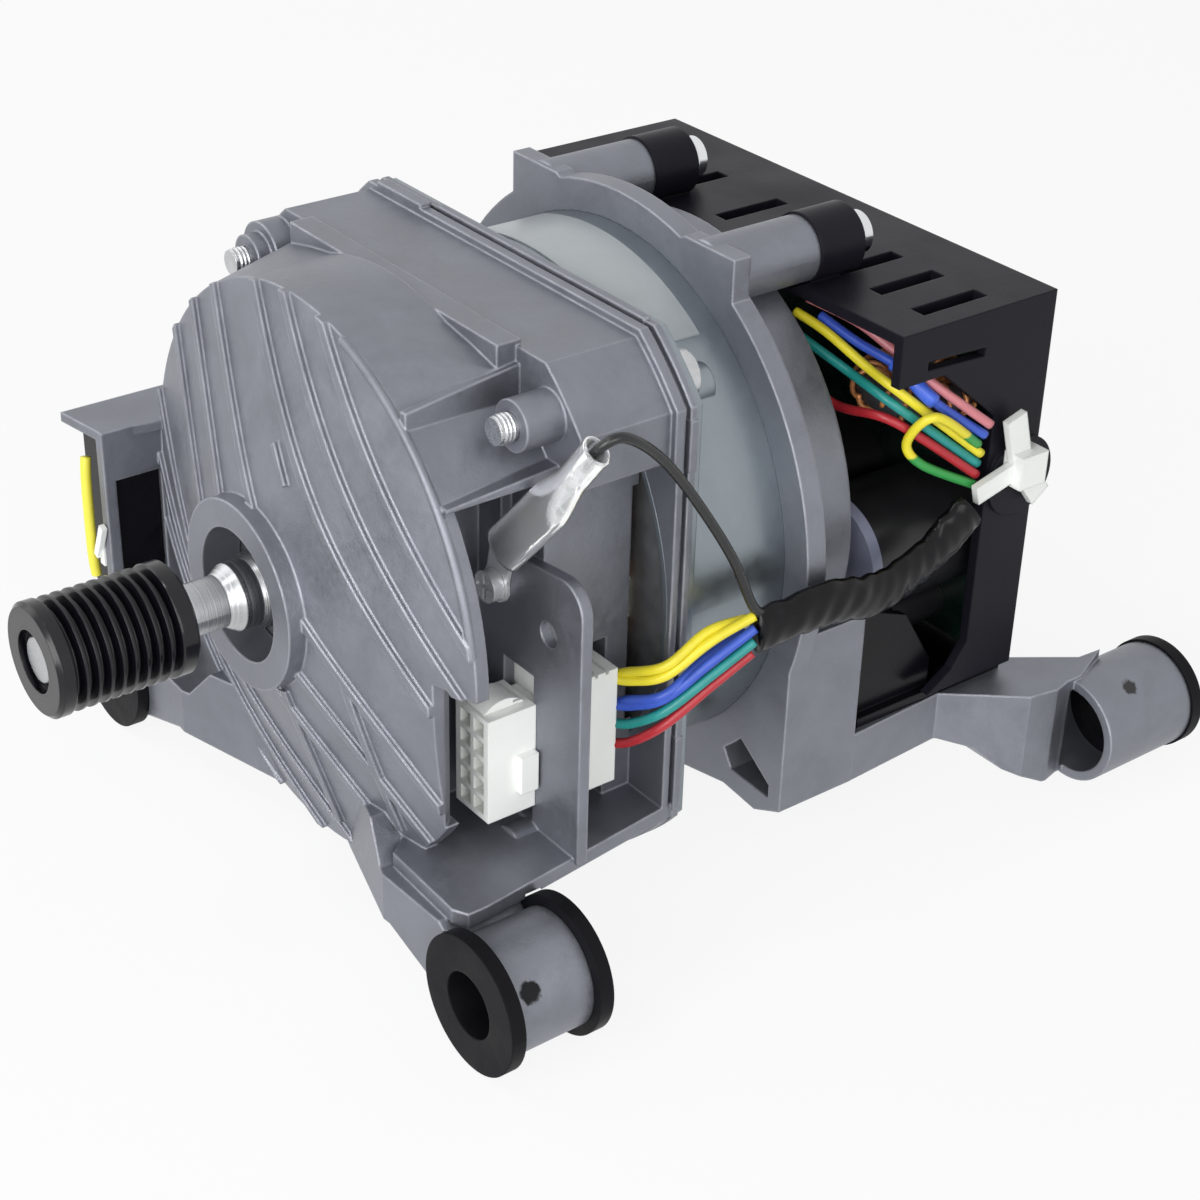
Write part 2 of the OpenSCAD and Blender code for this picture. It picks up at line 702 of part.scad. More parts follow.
// Belt pulley with V grooves between its ribs
module pulley() {
  r = pulley_d / 2;
  bore = shaft_nose_d / 2 + fit_gap;
  root = pulley_root_d / 2;
  rib_y0 = pulley_front_y + front_rim_w;
  teeth = [
    for (i = [0 : rib_count - 1], k = [0 : 3])
      [k == 1 || k == 2 ? root : r - 0.15, rib_y0 + rib_pitch * (i + [0.12, 0.42, 0.58, 0.88][k])]
  ];
  color("#1c1c1f") at_hub() difference() {
    turn_y() polygon(concat(
      [[bore, pulley_front_y], [r - 0.8, pulley_front_y], [r, pulley_front_y + 0.8], [r, rib_y0]],
      teeth,
      [
        [r, pulley_rear_y - rear_rim_w], [r, pulley_rear_y - 0.5], [r - 0.5, pulley_rear_y],
        [bore, pulley_rear_y]
      ]
    ));
    rod_y(shaft_nose_d + 1.8, pulley_front_y - 1, pulley_front_y + 1.6);
  }
}

module rotor_core() {
  color("#777c84") at_hub()
    tube_y(2 * (rotor_r - magnet_t - fit_gap), rotor_seat_d + 2 * fit_gap, core_y, core_end);
}

module rotor_magnets() {
  arc = 360 / pole_count - 3;
  color("#3c3f45") at_hub() for (i = [0 : pole_count - 1])
    rotate([0, i * 360 / pole_count, 0]) translate([0, core_y, 0]) rotate([-90, 0, 0])
      rotate_extrude(angle = arc) translate([rotor_r - magnet_t, 0]) square([magnet_t, core_l]);
}

module rotor_end_rings() {
  color("#c9c7bd") at_hub() for (y = [core_y - 3 - fit_gap, core_end + fit_gap])
    tube_y(2 * rotor_r - 0.4, rotor_seat_d + 2 * fit_gap, y, y + 3);
}

module retaining_ring() {
  color("#5b5f66") at_hub() difference() {
    tube_y(rotor_seat_d + 7, rotor_seat_d + 2 * fit_gap, core_end + 3.2, core_end + 4.4);
    box([-2.5, core_end + 3, rotor_seat_d / 2 - 1], [2.5, core_end + 5, rotor_seat_d]);
  }
}

module tacho_magnet() {
  color("#2c2c30") at_hub()
    tube_y(28, rear_brg_id + 4 + 2 * fit_gap, rear_brg_y - 3.4, rear_brg_y - run_gap);
}

// Outer ring, inner ring, or balls in their cage, for a deep-groove ball bearing
module bearing_ring(id, od, w, y, outer) {
  pitch_r = (id + od) / 4;
  ball_r = (od - id) / 6.4;
  groove_r = ball_r + 0.15;
  land = ball_r * 0.62;
  turn_y() translate([0, y]) difference() {
    translate([outer ? pitch_r + land : id / 2, 0]) square([(od - id) / 4 - land, w]);
    translate([pitch_r, w / 2]) circle(groove_r);
  }
}

module bearing_balls(id, od, w, y, count) {
  pitch_r = (id + od) / 4;
  ball_r = (od - id) / 6.4;
  translate([0, y + w / 2, 0]) {
    for (i = [0 : count - 1]) rotate([0, 360 * i / count, 0]) translate([pitch_r, 0, 0]) sphere(ball_r);
    tube_y(2 * pitch_r + 1.4, 2 * pitch_r - 1.4, -ball_r * 0.7, ball_r * 0.7);
  }
}

module front_bearing_outer() {
  color("#c3c6ca") at_hub()
    bearing_ring(front_brg_id, front_brg_od, front_brg_w, front_brg_y + fit_gap, true);
}

module front_bearing_inner() {
  color("#b7babe") at_hub()
    bearing_ring(front_brg_id, front_brg_od, front_brg_w - 2 * fit_gap, front_brg_y + fit_gap, false);
}

module front_bearing_balls() {
  color("#d8dade") at_hub() bearing_balls(front_brg_id, front_brg_od, front_brg_w, front_brg_y + fit_gap, 8);
}

module rear_bearing_outer() {
  color("#c3c6ca") at_hub() bearing_ring(rear_brg_id, rear_brg_od, rear_brg_w - 1, rear_brg_y, true);
}

module rear_bearing_inner() {
  color("#b7babe") at_hub()
    bearing_ring(rear_brg_id, rear_brg_od, rear_brg_w - 1, rear_brg_y + fit_gap, false);
}

module rear_bearing_balls() {
  color("#d8dade") at_hub() bearing_balls(rear_brg_id, rear_brg_od, rear_brg_w - 1, rear_brg_y, 7);
}

// Thin shields inside the outer rings, clear of the inner rings
module bearing_shield(id, od, y) {
  pitch_r = (id + od) / 4;
  ball_r = (od - id) / 6.4;
  land = ball_r * 0.62;
  tube_y(2 * (pitch_r + land) - 2 * fit_gap, 2 * (pitch_r - land) + 0.5, y, y + 0.5);
}

module bearing_shields() {
  color("#8e9196") at_hub() {
    bearing_shield(front_brg_id, front_brg_od, front_brg_y + 0.2);
    bearing_shield(front_brg_id, front_brg_od, front_brg_end - 0.7);
    bearing_shield(rear_brg_id, rear_brg_od, rear_brg_y + 0.2);
    bearing_shield(rear_brg_id, rear_brg_od, rear_brg_end - 1.7);
  }
}

module wave_spring() {
  color("#9a9ea4") at_hub()
    tube_y(rear_brg_od - 0.6, rear_brg_od - 6, rear_brg_end - 1 + fit_gap, rear_brg_end - fit_gap);
}

module front_bushes() {
  color("#232427") at_hub() at_lugs() difference() {
    union() {
      rod_y(bush_flange_d, front_lug_y - bush_flange_t, front_lug_y - fit_gap);
      rod_y(bush_seat_d - 2 * fit_gap, front_lug_y - 1, front_lug_y + front_lug_l / 2 - fit_gap);
    }
    rod_y(bush_bore_d, 0, front_lug_end);
  }
}

module front_bush_tails() {
  color("#232427") at_hub() at_lugs() difference() {
    union() {
      rod_y(bush_flange_d, front_lug_end + fit_gap, front_lug_end + bush_flange_t);
      rod_y(bush_seat_d - 2 * fit_gap, front_lug_y + front_lug_l / 2 + fit_gap, front_lug_end + 1);
    }
    rod_y(bush_bore_d, 0, front_lug_end + 9);
  }
}

module rear_bushes() {
  color("#232427") at_hub() at_lugs() difference() {
    union() {
      rod_y(lug_d + 1, rear_lug_end + fit_gap, rear_lug_end + bush_flange_t);
      rod_y(bush_seat_d - 2 * fit_gap, rear_lug_end - 14, rear_lug_end + 1);
    }
    rod_y(bush_bore_d, rear_lug_y, rear_lug_end + 9);
  }
}

// Places a child at each of the ten contacts, in two columns of five
module at_contacts() {
  for (i = [-0.5, 0.5], j = [-2 : 2])
    translate([plug_x + i * plug_pitch, 0, plug_z + j * plug_pitch]) children();
}

module connector_plug() {
  cell = plug_pitch - 1.2;
  color("#eef0ea") at_hub() difference() {
    union() {
      slab_y(plug_y, plate_y - fit_gap) translate([plug_x, plug_z])
        square([plug_w, plug_h], center = true);
      slab_y(plug_y, header_y - fit_gap) translate([plug_x, plug_z])
        square([neck_w, plug_h - 2], center = true);
      slab_y(plug_y + 6.4, plate_y - run_gap) translate([plug_x + plug_w / 2, plug_z - 2.4])
        square([3, 8], center = true);
    }
    at_contacts() translate([-cell / 2, plug_y - 1, -cell / 2]) cube([cell, 9, cell]);
  }
}

module connector_terminals() {
  pin = 1.4;
  color("#c9b16a") at_hub() at_contacts()
    translate([-pin / 2, plug_y + 2, -pin / 2]) cube([pin, 6 - fit_gap, pin]);
}

module connector_header() {
  color("#e6e9e2") at_hub() difference() {
    box([well_x + 1.6, header_y, header_z0], [header_x1, header_y + header_l, header_z1]);
    for (y = [2.6 : 2.4 : 10])
      translate([0, header_y + y, 0]) box([header_x1 - 9, 0, header_z1 - 0.6], [header_x1 + 1, 0.6, header_z1 + 1]);
  }
}

// Curved latch on top of the plug, hinged at its middle
module connector_latch() {
  top = plug_z + plug_h / 2;
  color("#f4f5f1") at_hub() slab_x(plug_x - 3, plug_x + 3) difference() {
    translate([plug_y + 5, top - 4]) intersection() {
      circle(6);
      translate([-6, 4 + fit_gap]) square([12, 6]);
    }
    translate([plug_y + 7, top + 0.6]) square([6, 0.5]);
  }
}

module earth_tab() {
  color("#c4c8cc") at_hub() difference() {
    union() {
      slab_y(plate_y - tab_t - fit_gap, plate_y - fit_gap) {
        translate([tab_x, tab_z]) circle(3.6);
        strip([tab_x, tab_z], [tab_x + 1.5, tab_z + 7], 6.3);
      }
      sweep(
        [[tab_x + 1.5, plate_y - 0.5, tab_z + 6], [tab_x + 6, plate_y - 3, tab_z + 11]],
        6, tab_t, [1, 0, -1]
      );
    }
    rod_y(4, plate_y - 3, plate_y + 1, [tab_x, tab_z]);
  }
}

module earth_screw() {
  color("#aeb3b8") at_hub() translate([tab_x, 0, tab_z]) {
    rod_y(3 - 2 * fit_gap, plate_y - tab_t - 0.5, plate_y + plate_t + 2);
    difference() {
      rod_y(6.2, plate_y - tab_t - 2.4, plate_y - tab_t - 2 * fit_gap);
      box([-2.4, plate_y - tab_t - 3, -0.4], [2.4, plate_y - tab_t - 1.6, 0.4]);
      box([-0.4, plate_y - tab_t - 3, -2.4], [0.4, plate_y - tab_t - 1.6, 2.4]);
    }
  }
}

module earth_receptacle() {
  color("#cdd1d4") at_hub() {
    sweep(route_from(crimp_at, [[-16.4, -3.6, -21.1], [-6.1, -1.7, -8.7]]), 6.8, 2.4, [1, 0, -1]);
    sweep(route_from(crimp_at, [[-6.2, -1.72, -8.8], [-0.2, -0.1, -0.3]]), 3.6, 3, [1, 0, -1]);
  }
}

module earth_sleeve() {
  middle = [-6.9, -1.9, -9.7];
  outside = route_from(crimp_at, [[-17.4, -3.7, -22.3], middle, [2.8, 0.7, 4.1]]);
  inside = route_from(crimp_at, [[-18.4, -3.9, -23.6], middle, [3.8, 0.9, 5.4]]);
  color("#e4e8ea", 0.45) at_hub() difference() {
    sweep(outside, 9, 5, [1, 0, -1], 12);
    sweep(inside, 8.2, 4.2, [1, 0, -1], 12);
  }
}

module earth_lead() {
  color("#1d1e22") at_hub() cord(route_from(sheath_in, [
    [-3.8, -37.7, 42.9], [-0.2, -36.6, 48], [1.2, -32.8, 49], [0.4, -24.8, 42.8], [-0.2, -16.3, 32.2],
    [-0.2, -6.9, 17.6], [0, -1.4, 5.9]
  ]), wire_d, 3);
}

// Wires: each colour runs from the connector to the sheath, and from the controller to the tie

module wire_yellow() {
  color("#e8dc1e") at_hub() {
    cord(route_from(bundle_in, [
      [-14.2, -21.35, -9.3], [-11.2, -19, -9.2], [-5.8, -15.4, -6.6], [-2.4, -8, -0.2], [0, 0, 3.6]
    ]), wire_d);
    cord(route_from(bundle_in, [
      [-15.9, -21.35, -10.1], [-12.8, -19.4, -8.1], [-5.7, -15.6, -4.4], [-3.6, -8, 1.2], [-2.2, 0, 1.9]
    ]), wire_d);
    cord(route_from(tie_in, [
      [-31.5, -21.9, 25.2], [-24.5, -20.2, 23.2], [-14.3, -18.6, 19.3], [-5.9, -17.1, 16.5], [0, 0, 1.6]
    ]), wire_d);
    cord(route_from(tie_in, [
      [0, -1.2, 4], [-0.1, -13.4, 13], [-4.5, -15.9, 6.8], [-3.3, -12.7, 1.6], [0, -1, -4.8]
    ]), wire_d, 3);
  }
}

module wire_blue() {
  color("#2f4fc4") at_hub() {
    cord(route_from(bundle_in, [
      [-14.2, -21.35, -14.9], [-11, -19, -14.5], [-5.4, -15.6, -11.2], [-2, -8, -4.4], [0.4, 0, 1.2]
    ]), wire_d);
    cord(route_from(bundle_in, [
      [-15.9, -21.35, -17], [-12.6, -19.4, -14.1], [-5.4, -16, -10.4], [-4.2, -8, -5.2], [-2.2, 0, -0.6]
    ]), wire_d);
    cord(route_from(tie_in, [
      [-27.5, -19, 25.1], [-18.9, -17.1, 22.3], [-9.4, -14.7, 19.9], [-2.9, -11.4, 14.6], [0.4, 0, 5.8]
    ]), wire_d);
  }
}

module wire_green() {
  color("#1f8f80") at_hub() {
    cord(route_from(bundle_in, [
      [-14.2, -21.35, -18.9], [-10.8, -19, -18.3], [-5.2, -15.6, -13.8], [-1.8, -8, -7.2], [0.4, 0, -1.6]
    ]), wire_d);
    cord(route_from(tie_in, [
      [-30.5, -21.1, 20.2], [-19.9, -18.2, 16.3], [-6.9, -17.9, 14.1], [-0.6, 0, -0.8]
    ]), wire_d);
  }
}

module wire_red() {
  color("#a8202a") at_hub() {
    cord(route_from(bundle_in, [
      [-14.2, -21.35, -23.5], [-10.8, -19, -22.3], [-5.4, -15.6, -17], [-2.2, -8, -10], [0, 0, -4.2]
    ]), wire_d);
    cord(route_from(tie_in, [
      [-35.5, -24.9, 23.3], [-30.8, -22.6, 14], [-20.8, -19.6, 9.1], [-7, -17.4, 10.4], [0, -0.6, -2.8]
    ]), wire_d);
  }
}

module wire_pink() {
  color("#d07f86") at_hub() {
    cord(route_from(tie_in, [
      [-29.9, -20.3, 28.2], [-20.5, -16, 25.6], [-13.2, -13.1, 21.8], [-4.3, -10.7, 17.6], [1.6, 0, 8.4]
    ]), wire_d);
  }
}

// Flat sleeve that holds the wires beside the motor and up to the tie
module harness_sheath() {
  last = len(sheath_route) - 1;
  color("#17181b") at_hub()
    sweep([for (i = [0 : last * 2]) curve_at(sheath_route, i / 2)], 10, 5, [0, 0, 1], 12);
}

module cable_tie() {
  x = box_half + bulge + fit_gap;
  color("#f1f2f0") at_hub() {
    box([x, tie_y - 3, tie_z - 3.5], [x + 5, tie_y + 4, tie_z + 3.5]);
    slab_x(x + 1, x + 2.6) {
      strip([tie_y, tie_z], [tie_y - 3.4, tie_z + 11.5], 5);
      strip([tie_y, tie_z], [tie_y + 6, tie_z - 8], 5);
      strip([tie_y, tie_z], [tie_y - 12, tie_z - 3], 4);
    }
  }
}

// Cover of the controller, open towards the rear bracket
module controller_cover() {
  slot_w = 3.6;
  x = box_half - box_wall;
  color("#26252b") at_hub() difference() {
    union() {
      difference() {
        box([-box_half, box_y, -box_drop], [box_half, box_end, box_top]);
        box([-x, box_y - 1, -box_drop - 1], [x, box_end - box_wall, box_top - box_wall]);
      }
      for (x0 = [-post_x, post_x]) {
        rod_y(post_d + 1, post_end + fit_gap, boss_end_y, [x0, post_z]);
        box([x0 - 3, post_end + fit_gap, box_top - 1], [x0 + 3, boss_end_y, post_z]);
      }
      for (sx = [-1, 1], z = [-box_drop + 8, box_top - 12])
        rod_y(6, board_end + fit_gap, box_end - 1, [sx * (box_half - 9), z]);
      translate([box_half - 4.4, box_end - 5, 8]) rotate([0, 90, 0]) cylinder(d = 17, h = 4.4 + bulge);
    }
    slab_x(x - 1, box_half + 1) polygon([
      [box_y - 1, box_top - 10.5], [box_y + 11.7, box_top - 10.5], [box_y + 26.5, 23], [box_y + 26.5, -28],
      [box_y + 23, -33], [box_y + 15, -box_drop - 1], [box_y - 1, -box_drop - 1]
    ]);
    slab_x(x - 1, box_half + 1) strip([box_y + 7, box_top - 7.6], [box_y + 22, box_top - 8.4], 1.8);
    for (sx = [-1, 1]) {
      rod_y(post_d + 2 * run_gap, box_y - 1, post_end + fit_gap, [sx * post_x, post_z]);
      rod_y(4.2, box_y - 1, box_y + 21, [sx * post_x, post_z]);
    }
    for (x0 = [7 - box_half, -25, -6, box_half - 29.8, box_half - 18.4, box_half - 7])
      box([x0 - slot_w / 2, box_y + 10, box_top - 4], [x0 + slot_w / 2, box_y + 26.5, box_top + 1]);
  }
}

// Carrier under the cover, with a stepped foot at its front corners
module controller_tray() {
  floor_z = -box_drop - 3 + fit_gap;
  x = box_half - box_wall - run_gap;
  color("#1b1b20") at_hub() {
    box([-x, box_y, floor_z], [x, box_end, floor_z + 2]);
    for (side = [0, 1]) mirror([side, 0, 0]) slab_x(x - 4, x - 2) polygon([
      [box_y + 0.2, floor_z], [box_y + 0.2, -14], [box_y + 13, -19], [box_y + 21, -32], [box_y + 21, floor_z]
    ]);
  }
}

// Flanged screws through the cover's bosses into the posts
module cover_screws() {
  head_end_y = boss_end_y + 4.4;
  color("#d5d8db") at_hub() for (sx = [-1, 1]) translate([sx * post_x, 0, post_z]) {
    rod_y(3.8, post_end - 8, boss_end_y + fit_gap);
    difference() {
      union() {
        rod_y(11, boss_end_y + fit_gap, boss_end_y + 1.4);
        rod_y(8.6, boss_end_y + fit_gap, head_end_y);
      }
      box([-3, head_end_y - 1, -0.5], [3, head_end_y + 1, 0.5]);
      box([-0.5, head_end_y - 1, -3], [0.5, head_end_y + 1, 3]);
    }
  }
}

module circuit_board() {
  color("#16261e") at_hub() slab_y(board_y, board_end) translate([-board_half, -box_drop + 3])
    square([2 * board_half, box_top + box_drop - 8]);
}

module capacitors() {
  wide = 26;
  narrow = 9;
  near_x = box_half - 18;
  color("#1d1d22") at_hub() {
    for (x = [near_x, near_x - wide - 2]) rod_y(wide, board_y - 30, board_y - fit_gap, [x, -9]);
    rod_y(narrow, board_y - 14, board_y - fit_gap, [near_x, -27.5]);
  }
}

module choke_core() {
  color("#3f4348") at_hub() translate([choke_x, choke_y, choke_z])
    rotate_extrude() translate([choke_r, 0]) circle(choke_loop_r - choke_wire_d / 2 - 0.15);
}

// One copper wire wound round the ring core in open loops
module choke_winding() {
  per_loop = 24;
  turn = 330;
  function around(i) = turn * i / (choke_loops * per_loop) - 75;
  function wound(i) =
    let (a = around(i), b = 360 * i / per_loop, r = choke_r + choke_loop_r * cos(b))
    [choke_x + r * cos(a), choke_y + r * sin(a), choke_z + choke_loop_r * sin(b)];
  path = [for (i = [0 : choke_loops * per_loop]) wound(i)];
  sides = [for (i = [0 : choke_loops * per_loop]) [-sin(around(i)), cos(around(i)), 0]];
  color("#b4652c") at_hub() sweep(path, choke_wire_d, choke_wire_d, sides, 6);
}

module heat_sink() {
  color("#a3a7ad") at_hub() {
    box([sink_x, back_y + 2, -24], [sink_x + 42, back_y + 5, 16]);
    for (z = [-24 : 8 : 8]) box([sink_x, back_y + 4, z + 3], [sink_x + 42, back_y + 13, z + 5]);
  }
}

module power_module() {
  color("#2a2a2e") at_hub() {
    box([sink_x + 2, back_y + 13 + fit_gap, -22], [sink_x + 40, back_y + 19, 14]);
    for (i = [0 : 6], z = [-21, 12])
      translate([sink_x + 6 + 5 * i, 0, z]) box([0, back_y + 18, 0], [1, board_y - fit_gap, 1]);
  }
}

module sensor_board() {
  color("#24603f") at_hub() {
    rotate([0, 30, 0]) intersection() {
      tube_y(66, rear_brg_od + 8.4, back_in_y - board_t - fit_gap, back_in_y - fit_gap);
      box([0, 0, -13], [60, back_y, 13]);
    }
    rotate([0, 30, 0]) for (z = [-6, 6])
      box([22, rear_brg_y - 2, z - 1.5], [24, back_in_y - 1, z + 1.5]);
  }
}

// Left terminals under the wing
module terminal_block() {
  color("#17171a") at_hub() {
    box([-wing_x - 10, 3, -29], [-wing_x - fit_gap, 16, 8 - fit_gap]);
    box([-wing_x - fit_gap - 1, 3.8, -25.6], [1.6 - wing_x, 13, -1.4]);
  }
}

module terminal_lead() {
  color("#e8dc1e") at_hub() cord(route_from([-wing_x - 5, 0, 0], [
    [0, 1.8, -25], [0.4, 1.2, -20], [1, 0.9, -10], [0.6, 1.2, -2], [0, 1.8, 2]
  ]), 2.2, 3);
}

module terminal_tie() {
  color("#eceeee") at_hub() {
    box([-wing_x - 2, 0.6, -21], [-wing_x - 0.2, 3 - fit_gap, -13]);
    slab_y(-0.4, 0.8) strip([-wing_x - 2, -19], [1.5 - wing_x, -11], 1.6);
  }
}

front_bracket();
rear_bracket();
stator_shell();
rating_plate();
stator_core();
stator_coils();
slot_insulators();
tie_screws();
shaft();
pulley();
rotor_core();
rotor_magnets();
rotor_end_rings();
retaining_ring();
tacho_magnet();
front_bearing_outer();
front_bearing_inner();
front_bearing_balls();
rear_bearing_outer();
rear_bearing_inner();
rear_bearing_balls();
bearing_shields();
wave_spring();
front_bushes();
front_bush_tails();
rear_bushes();
connector_plug();
connector_header();
connector_terminals();
connector_latch();
earth_tab();
earth_screw();
earth_receptacle();
earth_sleeve();
earth_lead();
wire_yellow();
wire_blue();
wire_green();
wire_red();
wire_pink();
harness_sheath();
cable_tie();
controller_cover();
controller_tray();
cover_screws();
circuit_board();
capacitors();
choke_core();
choke_winding();
heat_sink();
power_module();
sensor_board();
terminal_block();
terminal_lead();
terminal_tie();
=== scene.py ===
"""Finishes, wires and studio for a belt-drive washing machine motor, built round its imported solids."""

import math

import bpy
import numpy as np
from mathutils import Matrix, Vector


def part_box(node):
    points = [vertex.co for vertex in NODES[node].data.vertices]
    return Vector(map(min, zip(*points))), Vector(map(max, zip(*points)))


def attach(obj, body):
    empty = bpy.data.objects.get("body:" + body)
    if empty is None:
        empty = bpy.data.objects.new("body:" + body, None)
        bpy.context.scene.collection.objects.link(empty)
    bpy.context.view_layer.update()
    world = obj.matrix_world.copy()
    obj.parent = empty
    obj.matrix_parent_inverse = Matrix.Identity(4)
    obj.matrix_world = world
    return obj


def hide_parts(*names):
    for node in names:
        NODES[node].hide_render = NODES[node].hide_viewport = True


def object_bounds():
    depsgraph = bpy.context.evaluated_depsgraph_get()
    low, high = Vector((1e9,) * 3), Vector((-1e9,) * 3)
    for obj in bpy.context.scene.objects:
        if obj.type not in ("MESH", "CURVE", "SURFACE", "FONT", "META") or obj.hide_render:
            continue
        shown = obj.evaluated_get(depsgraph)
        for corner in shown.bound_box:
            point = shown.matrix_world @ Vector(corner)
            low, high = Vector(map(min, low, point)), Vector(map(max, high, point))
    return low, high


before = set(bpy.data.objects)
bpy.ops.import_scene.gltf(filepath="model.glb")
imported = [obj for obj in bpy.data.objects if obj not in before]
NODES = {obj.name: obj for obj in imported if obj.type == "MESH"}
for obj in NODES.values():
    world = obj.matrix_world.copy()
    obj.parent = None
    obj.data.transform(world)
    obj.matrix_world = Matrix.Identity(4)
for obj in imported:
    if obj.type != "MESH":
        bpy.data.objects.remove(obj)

bl_info = {
    "name": "Washing machine motor finishes",
    "version": (1, 0, 0),
    "blender": (4, 5, 0),
    "location": "View3D > Sidebar > Motor",
    "description": "Adds wires, small parts, finishes and a studio to a belt-drive washing machine motor",
    "category": "Object",
}

MM = 0.001
CAD_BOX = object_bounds()
FIXED = "housing"
HUB_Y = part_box("front_bracket")[0].y
# Straight pieces that stand for one stretch of a lead's route
LEAD_STEPS = 12
# Direction across the receptacle and its clear sleeve
CRIMP_SIDE = (1.0, 0, -1.0)

# Places of the leads' ends in millimetres, counted from the hub's face on the shaft axis, and their
# routes, counted from those places
SHEATH_IN = (62.6, 72.8, -1.6)
BUNDLE_IN = (62.6, 72, -1.6)
TIE_IN = (58.5, 131.5, 14.4)
CRIMP_AT = (58.8, 35.1, 41.3)
TERMINALS_AT = (-62, 0, 0)
SHEATH_ROUTE = [(0, 0, 0), (0.8, 15.2, 1), (0, 30.2, -1.8), (-1.4, 44.2, 1), (-1.4, 54.2, 8)]
EARTH_ROUTE = [
    (-3.8, -37.7, 42.9), (-0.2, -36.6, 48), (1.2, -32.8, 49), (0.4, -24.8, 42.8), (-0.2, -16.3, 32.2),
    (-0.2, -6.9, 17.6), (0, -1.4, 5.9), (0.2, 2, 3),
]
TERMINAL_ROUTE = [(0, 1.8, -25), (0.4, 1.2, -20), (1, 0.9, -10), (0.6, 1.2, -2), (0, 1.8, 2)]
WIRE_ROUTES = {
    "wire_yellow": [
        (BUNDLE_IN, [
            (-14.2, -21.35, -9.3), (-11.2, -19, -9.2), (-5.8, -15.4, -6.6),
            (-2.4, -8, -0.2), (0, 0, 3.6)]),
        (BUNDLE_IN, [
            (-15.9, -21.35, -10.1), (-12.8, -19.4, -8.1), (-5.7, -15.6, -4.4),
            (-3.6, -8, 1.2), (-2.2, 0, 1.9)]),
        (TIE_IN, [
            (-31.5, -21.9, 25.2), (-24.5, -20.2, 23.2), (-14.3, -18.6, 19.3),
            (-5.9, -17.1, 16.5), (0, 0, 1.6)]),
        (TIE_IN, [
            (0, -1.2, 4), (-0.1, -13.4, 13), (-4.5, -15.9, 6.8), (-3.3, -12.7, 1.6), (0, -1, -4.8)]),
    ],
    "wire_blue": [
        (BUNDLE_IN, [
            (-14.2, -21.35, -14.9), (-11, -19, -14.5), (-5.4, -15.6, -11.2),
            (-2, -8, -4.4), (0.4, 0, 1.2)]),
        (BUNDLE_IN, [
            (-15.9, -21.35, -17), (-12.6, -19.4, -14.1), (-5.4, -16, -10.4),
            (-4.2, -8, -5.2), (-2.2, 0, -0.6)]),
        (TIE_IN, [
            (-27.5, -19, 25.1), (-18.9, -17.1, 22.3), (-9.4, -14.7, 19.9),
            (-2.9, -11.4, 14.6), (0.4, 0, 5.8)]),
    ],
    "wire_green": [
        (BUNDLE_IN, [
            (-14.2, -21.35, -18.9), (-10.8, -19, -18.3), (-5.2, -15.6, -13.8),
            (-1.8, -8, -7.2), (0.4, 0, -1.6)]),
        (TIE_IN, [
            (-30.5, -21.1, 20.2), (-19.9, -18.2, 16.3), (-6.9, -17.9, 14.1), (-0.6, 0, -0.8)]),
    ],
    "wire_red": [
        (BUNDLE_IN, [
            (-14.2, -21.35, -23.5), (-10.8, -19, -22.3), (-5.4, -15.6, -17),
            (-2.2, -8, -10), (0, 0, -4.2)]),
        (TIE_IN, [
            (-35.5, -24.9, 23.3), (-30.8, -22.6, 14), (-20.8, -19.6, 9.1),
            (-7, -17.4, 10.4), (0, -0.6, -2.8)]),
    ],
    "wire_pink": [
        (TIE_IN, [
            (-29.9, -20.3, 28.2), (-20.5, -16, 25.6), (-13.2, -13.1, 21.8),
            (-4.3, -10.7, 17.6), (1.6, 0, 8.4)]),
    ],
}


def placed(points, start=(0, 0, 0)):
    """Points in millimetres from a start near the hub's face, as metres in the part's frame."""
    return (np.asarray(points, float) + np.asarray(start, float)) * MM + np.array([0, HUB_Y, 0])


def colour_property(name, description, default):
    return bpy.props.FloatVectorProperty(
        name=name, description=description, subtype="COLOR", size=3, min=0, max=1, default=default)


def length_property(name, description, default, low, high):
    """Length given in millimetres and held in metres."""
    return bpy.props.FloatProperty(
        name=name, description=description, default=default * MM, min=low * MM, max=high * MM,
        unit="LENGTH")


def power_property(name, description, default):
    return bpy.props.FloatProperty(
        name=name, description=description, default=default, min=0, unit="POWER")


class MotorColours(bpy.types.PropertyGroup):
    """Colours a user would change, one for each kind of finish."""

    casting: colour_property("Casting", "Body of the die-cast aluminium", (0.225, 0.235, 0.268))
    # Lighter colour painted along the castings' edges and ribs as a highlight
    casting_edge_highlight: colour_property(
        "Casting edge highlight", "Painted highlight on the castings' edges and ribs", (0.47, 0.48, 0.53))
    shell: colour_property("Shell", "Galvanised sheet steel of the stator shell", (0.27, 0.305, 0.33))
    steel: colour_property("Bright steel", "Turned shaft, screws and bearing rings", (0.52, 0.53, 0.54))
    label: colour_property("Label", "Bare silver film on the shell", (0.44, 0.475, 0.495))
    pulley: colour_property("Pulley", "Black finish of the belt pulley", (0.004, 0.004, 0.006))
    box: colour_property(
        "Controller box", "Moulded plastic of the controller's cover", (0.009, 0.0085, 0.013))
    nylon: colour_property("Nylon", "White connector and tie", (0.86, 0.88, 0.85))
    rubber: colour_property("Rubber", "Bushes in the lugs", (0.005, 0.005, 0.0065))
    copper: colour_property("Copper", "Enamelled copper of the choke and the coils", (0.66, 0.27, 0.1))


